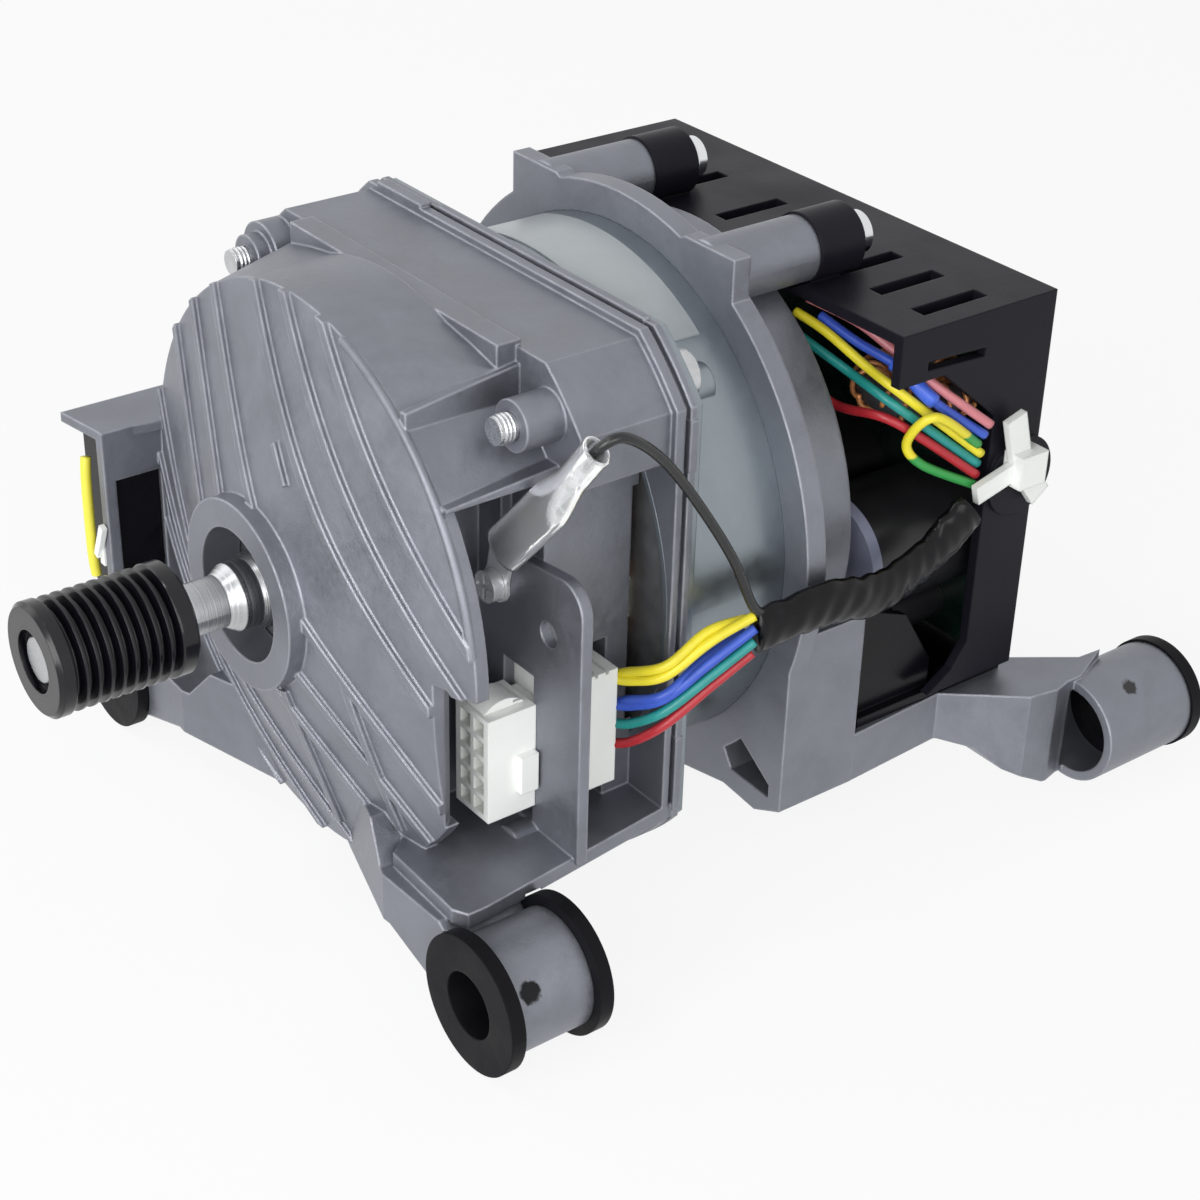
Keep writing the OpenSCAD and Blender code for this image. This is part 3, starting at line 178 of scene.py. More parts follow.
class HarnessSizes(bpy.types.PropertyGroup):
    """Sizes of the leads and of what holds them."""

    wire_d: length_property("Wire", "Diameter over a wire's insulation", 1.9, 1.2, 3)
    terminal_d: length_property("Terminal lead", "Diameter of the lead at the left terminals", 2.2, 1.2, 3)
    shrink_d: length_property("Heat-shrink", "Diameter of the heat-shrink sleeve on a blue wire", 3, 2, 4)
    sheath_w: length_property("Sheath width", "Width of the flat black sleeve", 9.2, 6, 14)
    sheath_t: length_property("Sheath thickness", "Thickness of the flat black sleeve", 4.6, 3, 8)
    choke_wire_d: length_property("Choke wire", "Diameter of the choke's copper wire", 1.1, 0.6, 1.4)
    choke_loops: bpy.props.IntProperty(
        name="Choke loops", description="Loops of wire round the choke's ring", default=16, min=8, max=24)


class StudioSettings(bpy.types.PropertyGroup):
    """Camera, lamps and floor."""

    azimuth: bpy.props.FloatProperty(
        name="Azimuth", description="Where the camera stands round the motor",
        default=math.radians(51.999), subtype="ANGLE")
    elevation: bpy.props.FloatProperty(
        name="Elevation", description="How far the camera looks down",
        default=math.radians(30.468), subtype="ANGLE")
    roll: bpy.props.FloatProperty(
        name="Roll", description="How far the camera leans", default=math.radians(1.628), subtype="ANGLE")
    lens: bpy.props.FloatProperty(
        name="Lens", description="Focal length on a sensor 36 mm wide", default=71.08, min=20, max=200)
    place: bpy.props.FloatVectorProperty(
        name="Camera place", description="Where the camera stands",
        subtype="TRANSLATION", size=3, default=(0.33527, -0.15061, 0.22086))
    key_power: power_property("Key light", "Power of the large light in front", 7.4)
    right_power: power_property("Right light", "Power of the light on the side of the leads", 5.0)
    left_power: power_property("Left light", "Power of the weak light on the left", 2.2)
    glint_power: power_property("Glint light", "Power of the small light that draws glints", 1.0)
    ambient: bpy.props.FloatProperty(
        name="Ambient", description="Strength of the white room", default=0.42, min=0, max=1)


class Graph:
    """Places nodes in a tree and joins them. A value in inputs is a number, a colour or a socket."""

    def __init__(self, tree):
        self.tree = tree

    def add(self, kind, inputs=None, **settings):
        node = self.tree.nodes.new(kind)
        for key, value in settings.items():
            setattr(node, key, value)
        for key, value in (inputs or {}).items():
            self.put(node.inputs[key], value)
        return node

    def put(self, socket, value):
        if isinstance(value, bpy.types.NodeSocket):
            self.tree.links.new(value, socket)
        else:
            socket.default_value = value

    def math(self, operation, a, b=0.0, clamp=False):
        node = self.add("ShaderNodeMath", {0: a, 1: b}, operation=operation, use_clamp=clamp)
        return node.outputs[0]

    def weighed(self, a, share_a, b, share_b):
        """Sum of two values, each times its share."""
        return self.math("ADD", self.math("MULTIPLY", a, share_a), self.math("MULTIPLY", b, share_b))

    def mix(self, factor, a, b):
        """Colour that goes from a to b as factor goes from 0 to 1."""
        node = self.add("ShaderNodeMix", data_type="RGBA")
        for socket, value in ((node.inputs[0], factor), (node.inputs[6], a), (node.inputs[7], b)):
            self.put(socket, value)
        return node.outputs[2]

    def span(self, value, low, high, to_low=0.0, to_high=1.0):
        """Value stretched so that low gives to_low and high gives to_high, and held between them."""
        node = self.add("ShaderNodeMapRange", {
            "Value": value, "From Min": low, "From Max": high, "To Min": to_low, "To Max": to_high})
        return node.outputs[0]

    def noise(self, vector, scale, detail=3.0, roughness=0.5, distortion=0.0):
        node = self.add("ShaderNodeTexNoise", {
            "Vector": vector, "Scale": scale, "Detail": detail, "Roughness": roughness,
            "Distortion": distortion})
        return node.outputs["Fac"]

    def stretched(self, vector, scale):
        """Vector with its three parts scaled one by one."""
        return self.add("ShaderNodeMapping", {"Vector": vector, "Scale": scale}).outputs[0]


def colour4(colour):
    return (*colour, 1.0)


def scaled(colour, k):
    """Colour made darker or lighter by k."""
    return tuple(min(1.0, c * k) for c in colour[:3]) + (1.0,)


def shader_group(name, inputs, outputs, build):
    """Shader node group with named sockets, made once. build(graph, inside, outside) fills it."""
    if name in bpy.data.node_groups:
        return bpy.data.node_groups[name]
    tree = bpy.data.node_groups.new(name, "ShaderNodeTree")
    for label, kind, value in inputs:
        socket = tree.interface.new_socket(label, in_out="INPUT", socket_type=kind)
        if value is not None:
            socket.default_value = value
    for label, kind in outputs:
        tree.interface.new_socket(label, in_out="OUTPUT", socket_type=kind)
    graph = Graph(tree)
    build(graph, graph.add("NodeGroupInput").outputs, graph.add("NodeGroupOutput").inputs)
    return tree


SKIN_OUTPUTS = [
    ("Color", "NodeSocketColor"), ("Roughness", "NodeSocketFloat"), ("Height", "NodeSocketFloat")]


def metal_skin_group():
    """Mottled metal: cloudy patches, small specks and a fine grain at one scale."""

    def build(graph, given, out):
        speck_scale = graph.math("MULTIPLY", given["Scale"], 9.0)
        grain_scale = graph.math("MULTIPLY", given["Scale"], 34.0)
        cloud = graph.noise(given["Vector"], given["Scale"], detail=4.0, roughness=0.6, distortion=0.4)
        speck = graph.noise(given["Vector"], speck_scale, detail=5.0, roughness=0.65)
        grain = graph.noise(given["Vector"], grain_scale, detail=2.0)
        tone = graph.weighed(graph.span(cloud, 0.36, 0.64), 0.42, speck, 0.5)
        graph.put(out["Color"], graph.mix(
            graph.math("MINIMUM", tone, 1.0), given["Dark"], given["Light"]))
        graph.put(out["Roughness"], graph.span(
            graph.weighed(cloud, 0.5, speck, 0.5), 0.35, 0.65, given["Smoothest"], given["Roughest"]))
        graph.put(out["Height"], graph.weighed(speck, 0.6, grain, 0.4))

    return shader_group(
        "metal_skin",
        [("Vector", "NodeSocketVector", None), ("Scale", "NodeSocketFloat", 60.0),
         ("Dark", "NodeSocketColor", (0.3, 0.3, 0.3, 1)), ("Light", "NodeSocketColor", (0.5, 0.5, 0.5, 1)),
         ("Smoothest", "NodeSocketFloat", 0.35), ("Roughest", "NodeSocketFloat", 0.6)],
        SKIN_OUTPUTS, build)


def painted_edge_highlight_group():
    """Mask of a painted highlight along edges: where a rounded normal leaves the true one, broken up by
    noise.
    """

    def build(graph, given, out):
        true_normal = graph.add("ShaderNodeNewGeometry").outputs["Normal"]
        same = graph.add(
            "ShaderNodeVectorMath", {0: given["Soft Normal"], 1: true_normal}, operation="DOT_PRODUCT")
        bend = graph.math("SUBTRACT", 1.0, same.outputs["Value"])
        edge = graph.span(bend, 0.012, 0.14)
        # Noise breaks the painted edge highlight into patches
        patchy = graph.noise(given["Vector"], given["Scale"], detail=4.0, roughness=0.6)
        highlight_patches = graph.span(patchy, 0.3, 0.62, to_low=0.35)
        graph.put(out["Mask"], graph.math("MULTIPLY", edge, highlight_patches))

    return shader_group(
        "worn_edge",
        [("Soft Normal", "NodeSocketVector", None), ("Vector", "NodeSocketVector", None),
         ("Scale", "NodeSocketFloat", 160.0)],
        [("Mask", "NodeSocketFloat")], build)


def moulded_grain_group():
    """Moulded plastic: a fine even grain, with faint clouds in its colour and gloss."""

    def build(graph, given, out):
        cloud = graph.noise(given["Vector"], given["Cloud Scale"], roughness=0.55)
        grain = graph.noise(given["Vector"], given["Grain Scale"], detail=2.0, roughness=0.6)
        graph.put(out["Color"], graph.mix(graph.span(cloud, 0.3, 0.7), given["Dark"], given["Light"]))
        graph.put(out["Roughness"], graph.span(cloud, 0.3, 0.7, given["Smoothest"], given["Roughest"]))
        graph.put(out["Height"], grain)

    return shader_group(
        "moulded_grain",
        [("Vector", "NodeSocketVector", None), ("Cloud Scale", "NodeSocketFloat", 45.0),
         ("Grain Scale", "NodeSocketFloat", 1600.0), ("Dark", "NodeSocketColor", (0.1, 0.1, 0.1, 1)),
         ("Light", "NodeSocketColor", (0.2, 0.2, 0.2, 1)), ("Smoothest", "NodeSocketFloat", 0.35),
         ("Roughest", "NodeSocketFloat", 0.5)],
        SKIN_OUTPUTS, build)


def ring_lines_group():
    """Fine rings round the shaft axis, as turning or stacking leaves them: a noise stretched round Y."""

    def build(graph, given, out):
        parts = graph.add("ShaderNodeSeparateXYZ", {0: given["Vector"]}).outputs
        radius = graph.math("SQRT", graph.math(
            "ADD", graph.math("MULTIPLY", parts[0], parts[0]), graph.math("MULTIPLY", parts[2], parts[2])))
        place = graph.add("ShaderNodeCombineXYZ", {
            0: graph.math("MULTIPLY", radius, given["Lines"]),
            1: graph.math("MULTIPLY", parts[1], given["Lines"]), 2: 0.0})
        graph.put(out["Value"], graph.noise(place.outputs[0], 1.0, detail=2.0, roughness=0.7))

    return shader_group(
        "ring_lines",
        [("Vector", "NodeSocketVector", None), ("Lines", "NodeSocketFloat", 4000.0)],
        [("Value", "NodeSocketFloat")], build)


def empty_graph(owner):
    """Graph of a material or world whose nodes are cleared."""
    owner.use_nodes = True
    owner.node_tree.nodes.clear()
    return Graph(owner.node_tree)


def new_material(name, metallic=0.0):
    """Material with a Principled BSDF alone: (material, graph, shader, object coordinates)."""
    material = bpy.data.materials.new(name)
    graph = empty_graph(material)
    shader = graph.add("ShaderNodeBsdfPrincipled", {"Metallic": metallic})
    graph.add("ShaderNodeOutputMaterial", {"Surface": shader.outputs[0]})
    return material, graph, shader, graph.add("ShaderNodeTexCoord").outputs["Object"]


def use_group(graph, tree, inputs):
    node = graph.add("ShaderNodeGroup", node_tree=tree)
    for key, value in inputs.items():
        graph.put(node.inputs[key], value)
    return node.outputs


def raised(graph, height, strength, distance, normal=None):
    """Normal of a surface that a height in metres lifts."""
    inputs = {"Height": height, "Strength": strength, "Distance": distance}
    if normal is not None:
        inputs["Normal"] = normal
    return graph.add("ShaderNodeBump", inputs).outputs[0]


def rounded(graph, radius):
    """Normal that rounds a solid's sharp edges by a radius in metres."""
    return graph.add("ShaderNodeBevel", {"Radius": radius}, samples=4).outputs[0]


def dab(graph, coords, centre, size):
    """Mask of a ragged paint dab round a point: full where the distance and a fringe of noise add up
    to less than the inner limit, and gone past the outer one."""
    inner, outer = size * 1.3, size * 1.55
    gap = graph.add("ShaderNodeVectorMath", {0: coords, 1: tuple(centre)}, operation="DISTANCE")
    fringe = graph.math("MULTIPLY", graph.noise(coords, 700.0), size * 1.1)
    return graph.span(graph.math("ADD", gap.outputs["Value"], fringe), outer, inner)


def metal(name, dark, light, scale=60.0, smooth=0.35, rough=0.6, metallic=0.9, edge=0.0, edge_colour=None,
          grain=0.25, dabs=()):
    """Mottled metal with rounded edges, painted lighter along them as a highlight, and optional dabs of
    black paint.
    """
    paint = (0.01, 0.01, 0.012, 1)
    material, graph, shader, coords = new_material(name, metallic)
    skin = use_group(graph, metal_skin_group(), {
        "Vector": coords, "Scale": scale, "Dark": dark, "Light": light, "Smoothest": smooth,
        "Roughest": rough})
    colour = skin["Color"]
    normal = None
    if edge:
        normal = rounded(graph, edge)
        # Edges are painted lighter as a highlight
        highlight_mask = use_group(graph, painted_edge_highlight_group(), {"Soft Normal": normal, "Vector": coords})["Mask"]
        colour = graph.mix(highlight_mask, colour, edge_colour or light)
    for centre, size in dabs:
        mark = dab(graph, coords, centre, size)
        colour = graph.mix(mark, colour, paint)
        graph.put(shader.inputs["Metallic"], graph.math("SUBTRACT", metallic, mark, clamp=True))
    graph.put(shader.inputs["Base Color"], colour)
    graph.put(shader.inputs["Roughness"], skin["Roughness"])
    graph.put(shader.inputs["Normal"], raised(graph, skin["Height"], grain, 0.3 * MM, normal))
    return material


def plastic(name, colour, spread=0.12, smooth=0.34, rough=0.46, grain=0.1, edge=0.0, shine=0.5, cloud=45.0):
    """Moulded plastic with a fine grain and rounded edges."""
    material, graph, shader, coords = new_material(name)
    skin = use_group(graph, moulded_grain_group(), {
        "Vector": coords, "Cloud Scale": cloud, "Dark": scaled(colour, 1 - spread),
        "Light": scaled(colour, 1 + spread), "Smoothest": smooth, "Roughest": rough})
    graph.put(shader.inputs["Base Color"], skin["Color"])
    graph.put(shader.inputs["Roughness"], skin["Roughness"])
    normal = rounded(graph, edge) if edge else None
    graph.put(shader.inputs["Normal"], raised(graph, skin["Height"], grain, 0.1 * MM, normal))
    shader.inputs["Specular IOR Level"].default_value = shine
    return material


def turned(name, colour, lines=4000.0, smooth=0.2, rough=0.36, metallic=1.0, depth=0.2, edge=0.0,
           shine=0.5):
    """Metal with fine rings round the shaft axis."""
    material, graph, shader, coords = new_material(name, metallic)
    rings = use_group(graph, ring_lines_group(), {"Vector": coords, "Lines": lines})["Value"]
    cloud = graph.noise(coords, 90.0)
    graph.put(shader.inputs["Base Color"], graph.mix(
        graph.span(graph.math("ADD", rings, cloud), 0.7, 1.3), scaled(colour, 0.78), scaled(colour, 1.15)))
    graph.put(shader.inputs["Roughness"], graph.span(rings, 0.3, 0.7, smooth, rough))
    normal = rounded(graph, edge) if edge else None
    graph.put(shader.inputs["Normal"], raised(graph, rings, depth, 0.2 * MM, normal))
    shader.inputs["Specular IOR Level"].default_value = shine
    return material


def banded(name, colour, band_colour, axis, low, high, smooth=0.3, rough=0.42):
    """Plastic sleeve with a pale bare band between two places along one axis."""
    material, graph, shader, coords = new_material(name)
    place = graph.add("ShaderNodeSeparateXYZ", {0: coords}).outputs["XYZ".index(axis)]
    above, below = graph.math("GREATER_THAN", place, low), graph.math("LESS_THAN", place, high)
    inside = graph.math("MULTIPLY", above, below)
    cloud = graph.noise(coords, 140.0)
    dark = graph.mix(cloud, scaled(colour, 0.7), scaled(colour, 1.4))
    pale = graph.mix(cloud, scaled(band_colour, 0.85), scaled(band_colour, 1.1))
    graph.put(shader.inputs["Base Color"], graph.mix(inside, dark, pale))
    graph.put(shader.inputs["Roughness"], graph.span(cloud, 0.3, 0.7, smooth, rough))
    return material


def insulation(name, colour, gloss=0.36):
    """Soft wire insulation: a slight change of tone, with faint rub marks across the lead."""
    material, graph, shader, coords = new_material(name)
    cloud = graph.noise(coords, 220.0)
    fine = graph.noise(coords, 1400.0, detail=2.0)
    graph.put(shader.inputs["Base Color"], graph.mix(cloud, scaled(colour, 0.78), scaled(colour, 1.18)))
    graph.put(shader.inputs["Roughness"], graph.span(fine, 0.3, 0.7, gloss - 0.08, gloss + 0.1))
    graph.put(shader.inputs["Normal"], raised(graph, fine, 0.15, 0.1 * MM))
    return material


def clear_film(name):
    """Clear PVC sleeve: see-through, with soft folds that bend the light."""
    material, graph, shader, coords = new_material(name)
    folds = graph.noise(graph.stretched(coords, (1.0, 1.0, 0.5)), 210.0, detail=2.0, distortion=0.6)
    graph.put(shader.inputs["Base Color"], graph.mix(folds, (0.9, 0.93, 0.94, 1), (1.0, 1.0, 1.0, 1)))
    graph.put(shader.inputs["Roughness"], graph.span(folds, 0.4, 0.7, to_low=0.04, to_high=0.2))
    graph.put(shader.inputs["Normal"], raised(graph, folds, 0.35, 0.5 * MM))
    shader.inputs["Transmission Weight"].default_value = 0.86
    shader.inputs["IOR"].default_value = 1.38
    return material


def striped_lead(name, colour, stripe, centre, turn):
    """Insulation with a stripe of a second colour below a line that a turn round X tilts."""
    stripe_from, stripe_full, fringe_width = 0.2 * MM, 0.8 * MM, 0.4 * MM
    material, graph, shader, coords = new_material(name)
    parts = graph.add("ShaderNodeSeparateXYZ", {0: coords}).outputs
    across = graph.math("SUBTRACT", parts[1], centre[1])
    up = graph.math("SUBTRACT", parts[2], centre[2])
    place = graph.weighed(across, math.sin(turn), up, -math.cos(turn))
    fringe = graph.math("MULTIPLY", graph.noise(coords, 900.0), fringe_width)
    mask = graph.span(graph.math("ADD", place, fringe), stripe_from, stripe_full)
    fine = graph.noise(coords, 1400.0)
    graph.put(shader.inputs["Base Color"], graph.mix(mask, colour4(colour), colour4(stripe)))
    graph.put(shader.inputs["Roughness"], graph.span(fine, 0.3, 0.7, to_low=0.28, to_high=0.44))
    return material


def dress(material, *nodes):
    """Puts one material on CAD nodes."""
    for name in nodes:
        slots = NODES[name].data.materials
        slots.clear()
        slots.append(material)


def mesh_piece(name, points, faces, material, smooth=True):
    """Object from an array of points and a list of faces, riding on the motor's fixed body."""
    mesh = bpy.data.meshes.new(name)
    mesh.from_pydata(points.reshape(-1, 3).tolist(), [], faces)
    mesh.polygons.foreach_set("use_smooth", np.full(len(mesh.polygons), smooth))
    mesh.materials.append(material)
    mesh.update()
    piece = bpy.data.objects.new(name, mesh)
    bpy.context.scene.collection.objects.link(piece)
    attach(piece, FIXED)
    return piece


def smooth_route(points, steps):
    """Points of a Catmull-Rom curve through given points: on each stretch, half of
    2b + (c - a)u + (2a - 5b + 4c - d)u^2 + (3b - a - 3c + d)u^3, the end points counted twice."""
    p = np.asarray(points, float)
    n = len(p) - 1
    t = np.linspace(0, n, n * steps + 1)
    i = np.minimum(t.astype(int), n - 1)
    u = (t - i)[:, None]
    a, b, c, d = p[np.maximum(i - 1, 0)], p[i], p[i + 1], p[np.minimum(i + 2, n)]
    return 0.5 * (2 * b + (c - a) * u + (2 * a - 5 * b + 4 * c - d) * u ** 2
                  + (3 * b - a - 3 * c + d) * u ** 3)


def unit_rows(vectors):
    return vectors / np.linalg.norm(vectors, axis=-1, keepdims=True)


def tube_rings(path, width, height, side, sides):
    """Rings along a path: the centre, plus across * height/2 * cos a, plus upward * width/2 * sin a,
    where across is square to the path and to side. Width and height may change along the path."""
    tangent = unit_rows(np.gradient(path, axis=0))
    across = unit_rows(np.cross(tangent, np.broadcast_to(np.asarray(side, float), path.shape)))
    upward = np.cross(across, tangent)
    a = 2 * np.pi * (np.arange(sides) + 0.5) / sides
    w = np.broadcast_to(np.asarray(width, float), (len(path),))[:, None, None] / 2
    h = np.broadcast_to(np.asarray(height, float), (len(path),))[:, None, None] / 2
    return (path[:, None] + across[:, None] * np.cos(a)[None, :, None] * h
            + upward[:, None] * np.sin(a)[None, :, None] * w)


def tube_faces(rings, sides, start=0):
    """Quads between neighbouring rings, with a flat face on each end."""
    i, j = np.meshgrid(np.arange(rings - 1), np.arange(sides), indexing="ij")
    a = i * sides + j
    b = i * sides + (j + 1) % sides
    quads = np.stack([a, b, b + sides, a + sides], -1).reshape(-1, 4) + start
    first = (np.arange(sides)[::-1] + start).tolist()
    last = (np.arange(sides) + (rings - 1) * sides + start).tolist()
    return quads.tolist() + [first, last]


def tubes(name, paths, width, height, material, side=(0, 0, 1), sides=16):
    """One object of several tubes."""
    points, faces, start = [], [], 0
    for path in paths:
        rings = tube_rings(path, width, height, side, sides)
        points.append(rings.reshape(-1, 3))
        faces += tube_faces(len(path), sides, start)
        start += len(path) * sides
    return mesh_piece(name, np.concatenate(points), faces, material)


def colours():
    return bpy.context.scene.motor_colours


def sizes():
    return bpy.context.scene.harness_sizes


class MOTOR_OT_finish_castings(bpy.types.Operator):
    """Gives the die-cast end shields their mottled aluminium, with a painted highlight along edges and ribs
    """

    bl_idname = "motor.finish_castings"
    bl_label = "Finish the castings"

    # Places, counted like the leads', and sizes in millimetres of the paint dabs on two lugs
    DABS = (((77.8, 11.7, -45.8), 2.3), ((74.2, 168.1, -42.3), 1.9))

    def execute(self, context):
        c = colours()
        marks = [(placed(spot), size * MM) for spot, size in self.DABS]
        # The castings and the heat sink are painted lighter along their edges and ribs as a highlight
        dress(metal("cast_aluminium", scaled(c.casting, 0.78), scaled(c.casting, 1.18), scale=75.0,
                    smooth=0.36, rough=0.54, metallic=0.7, edge=0.7 * MM,
                    edge_colour=colour4(c.casting_edge_highlight), grain=0.35, dabs=marks),
              "front_bracket", "rear_bracket")
        dress(metal("heat_sink_aluminium", scaled(c.casting, 0.9), scaled(c.casting, 1.3), scale=80.0,
                    smooth=0.3, rough=0.5, edge=0.3 * MM), "heat_sink")
        return {"FINISHED"}


class MOTOR_OT_finish_steel(bpy.types.Operator):
    """Gives the shell, the label, the shaft, the screws and the bearings their metal"""

    bl_idname = "motor.finish_steel"
    bl_label = "Finish the steel"

    def execute(self, context):
        c = colours()
        # Each metal given an edge radius is painted lighter along its edges as a highlight
        dress(metal("galvanised_shell", scaled(c.shell, 0.82), scaled(c.shell, 1.15), scale=34.0,
                    smooth=0.26, rough=0.4, edge=0.4 * MM, grain=0.12), "stator_shell")
        dress(metal("silver_film", scaled(c.label, 0.9), scaled(c.label, 1.05), scale=120.0,
                    smooth=0.3, rough=0.4, metallic=0.25, grain=0.05), "rating_plate")
        dress(turned("turned_steel", c.steel, lines=2600.0, smooth=0.2, rough=0.38, depth=0.25,
                     edge=0.3 * MM), "shaft", "tacho_magnet")
        dress(turned("ground_steel", scaled(c.steel, 1.1)[:3], lines=6000.0, smooth=0.12, rough=0.24,
                     depth=0.08, edge=0.2 * MM),
              "front_bearing_outer", "front_bearing_inner", "front_bearing_balls", "rear_bearing_outer",
              "rear_bearing_inner", "rear_bearing_balls", "wave_spring")
        dress(metal("pressed_steel", scaled(c.steel, 0.7), scaled(c.steel, 1.0), scale=150.0,
                    smooth=0.3, rough=0.45, metallic=0.95, edge=0.2 * MM),
              "bearing_shields", "retaining_ring")
        dress(metal("zinc_screws", scaled(c.steel, 0.85), scaled(c.steel, 1.25), scale=240.0,
                    smooth=0.2, rough=0.38, metallic=1.0, edge=0.25 * MM), "tie_screws")
        dress(metal("tinned_brass", scaled(c.steel, 1.2), scaled(c.steel, 1.6), scale=260.0,
                    smooth=0.14, rough=0.3, metallic=0.55, edge=0.2 * MM, grain=0.08),
              "earth_screw", "earth_tab", "earth_receptacle")
        dress(metal("chrome_screws", scaled(c.steel, 1.25), scaled(c.steel, 1.5), scale=200.0,
                    smooth=0.08, rough=0.18, metallic=1.0, edge=0.3 * MM, grain=0.04), "cover_screws")
        dress(metal("stacked_sheet", scaled(c.steel, 0.3), scaled(c.steel, 0.5), scale=260.0,
                    smooth=0.4, rough=0.6, metallic=0.85), "stator_core", "rotor_core")
        return {"FINISHED"}


class MOTOR_OT_finish_pulley(bpy.types.Operator):
    """Gives the belt pulley its glossy black"""

    bl_idname = "motor.finish_pulley"
    bl_label = "Finish the pulley"

    def execute(self, context):
        dress(turned("pulley_black", colours().pulley, lines=1800.0, smooth=0.14, rough=0.28,
                     metallic=0.0, depth=0.12, edge=0.25 * MM, shine=0.4), "pulley")
        return {"FINISHED"}


class MOTOR_OT_finish_plastics(bpy.types.Operator):
    """Gives the controller box, the connector, the tie and the bushes their plastic and rubber"""

    bl_idname = "motor.finish_plastics"
    bl_label = "Finish the plastics"

    def execute(self, context):
        c = colours()
        dress(plastic("controller_black", c.box, spread=0.14, rough=0.48, grain=0.25, edge=0.6 * MM,
                      shine=0.12), "controller_cover")
        dress(plastic("carrier_black", scaled(c.box, 0.4)[:3], spread=0.2, smooth=0.18, rough=0.32,
                      grain=0.15, edge=0.4 * MM, shine=0.16),
              "controller_tray", "terminal_block", "power_module")
        dress(plastic("white_nylon", c.nylon, spread=0.05, smooth=0.3, rough=0.44, edge=0.35 * MM),
              "connector_plug", "connector_header", "connector_latch", "terminal_tie")
        dress(plastic("tie_nylon", scaled(c.nylon, 0.92)[:3], spread=0.06, smooth=0.22, rough=0.36,
                      edge=0.5 * MM), "cable_tie")
        dress(plastic("bush_rubber", c.rubber, spread=0.3, smooth=0.42, rough=0.62, grain=0.4,
                      edge=0.5 * MM, shine=0.1, cloud=120.0),
              "front_bushes", "front_bush_tails", "rear_bushes")
        dress(plastic("coil_former", (0.78, 0.76, 0.66), spread=0.06, smooth=0.4, rough=0.5),
              "slot_insulators", "rotor_end_rings")
        return {"FINISHED"}


class MOTOR_OT_finish_electrics(bpy.types.Operator):
    """Gives the board, the capacitors, the magnets, the coils and the contacts their finish"""

    bl_idname = "motor.finish_electrics"
    bl_label = "Finish the electrics"

    # Front edge, counted from the hub's face, and width in millimetres of the capacitors' pale band
    BAND_AT = 110.4
    BAND_W = 3.4

    def execute(self, context):
        c = colours()
        dress(plastic("dark_solder_mask", (0.006, 0.016, 0.012), spread=0.4, smooth=0.2, rough=0.34,
                      grain=0.2, cloud=160.0), "circuit_board", "sensor_board")
        low = float(placed((0, self.BAND_AT, 0))[1])
        dress(banded("capacitor_sleeve", (0.012, 0.012, 0.014), (0.3, 0.32, 0.44), "Y", low,
                     low + self.BAND_W * MM), "capacitors")
        dress(metal("magnet_grey", (0.05, 0.052, 0.058, 1), (0.1, 0.1, 0.11, 1), scale=180.0,
                    smooth=0.4, rough=0.6, metallic=0.4), "rotor_magnets", "choke_core")
        dress(turned("coil_copper", c.copper, lines=5200.0, smooth=0.3, rough=0.45, metallic=0.8,
                     depth=0.9), "stator_coils")
        dress(metal("contact_brass", (0.42, 0.33, 0.14, 1), (0.68, 0.55, 0.28, 1), scale=300.0,
                    smooth=0.25, rough=0.4, metallic=1.0), "connector_terminals")
        return {"FINISHED"}


class MOTOR_OT_build_wires(bpy.types.Operator):
    """Makes the coloured wires as smooth round tubes on their routes"""

    bl_idname = "motor.build_wires"
    bl_label = "Build the wires"

    TINTS = {
        "wire_yellow": ("yellow_lead", (0.76, 0.66, 0.03)), "wire_blue": ("blue_lead", (0.035, 0.09, 0.5)),
        "wire_green": ("green_lead", (0.015, 0.26, 0.24)), "wire_red": ("red_lead", (0.42, 0.02, 0.03)),
        "wire_pink": ("pink_lead", (0.58, 0.2, 0.22)),
    }
    STRIPE = (0.03, 0.3, 0.06)
    STRIPE_TURN = math.radians(20)
    SHRINK = (0.05, 0.13, 0.66)
    # Points of the blue lead's path that the heat-shrink covers
    SHRUNK = slice(22, 37)

    def execute(self, context):
        wire_d, shrink_d, terminal_d = sizes().wire_d, sizes().shrink_d, sizes().terminal_d
        for node, routes in WIRE_ROUTES.items():
            slot, tint = self.TINTS[node]
            paths = [placed(smooth_route(route, LEAD_STEPS), place) for place, route in routes]
            loop = paths.pop() if node == "wire_yellow" else None
            piece = tubes("leads_" + node, paths, wire_d, wire_d, insulation(slot, tint))
            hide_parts(node)
            if loop is not None:
                stripes = striped_lead("yellow_green_lead", tint, self.STRIPE, loop.mean(axis=0),
                                       self.STRIPE_TURN)
                tubes("leads_earth_loop", [loop], wire_d, wire_d, stripes)
        place, route = WIRE_ROUTES["wire_blue"][-1]
        shrink = placed(smooth_route(route, LEAD_STEPS)[self.SHRUNK], place)
        tubes("heat_shrink", [shrink], shrink_d, shrink_d,
              insulation("shrink_blue", self.SHRINK, gloss=0.3))
        path = placed(smooth_route(TERMINAL_ROUTE, LEAD_STEPS), TERMINALS_AT)
        lead = tubes("leads_terminal", [path], terminal_d, terminal_d,
                     bpy.data.materials["yellow_lead"], side=(1, 0, 0))
        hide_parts("terminal_lead")
        return {"FINISHED"}


class MOTOR_OT_build_earth_lead(bpy.types.Operator):
    """Makes the black earth lead"""

    bl_idname = "motor.build_earth_lead"
    bl_label = "Build the earth lead"

    def execute(self, context):
        path = placed(smooth_route(EARTH_ROUTE, LEAD_STEPS), SHEATH_IN)
        lead = tubes("leads_earth", [path], sizes().wire_d, sizes().wire_d,
                     insulation("black_lead", (0.009, 0.0095, 0.011), gloss=0.3))
        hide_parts("earth_lead")
        return {"FINISHED"}


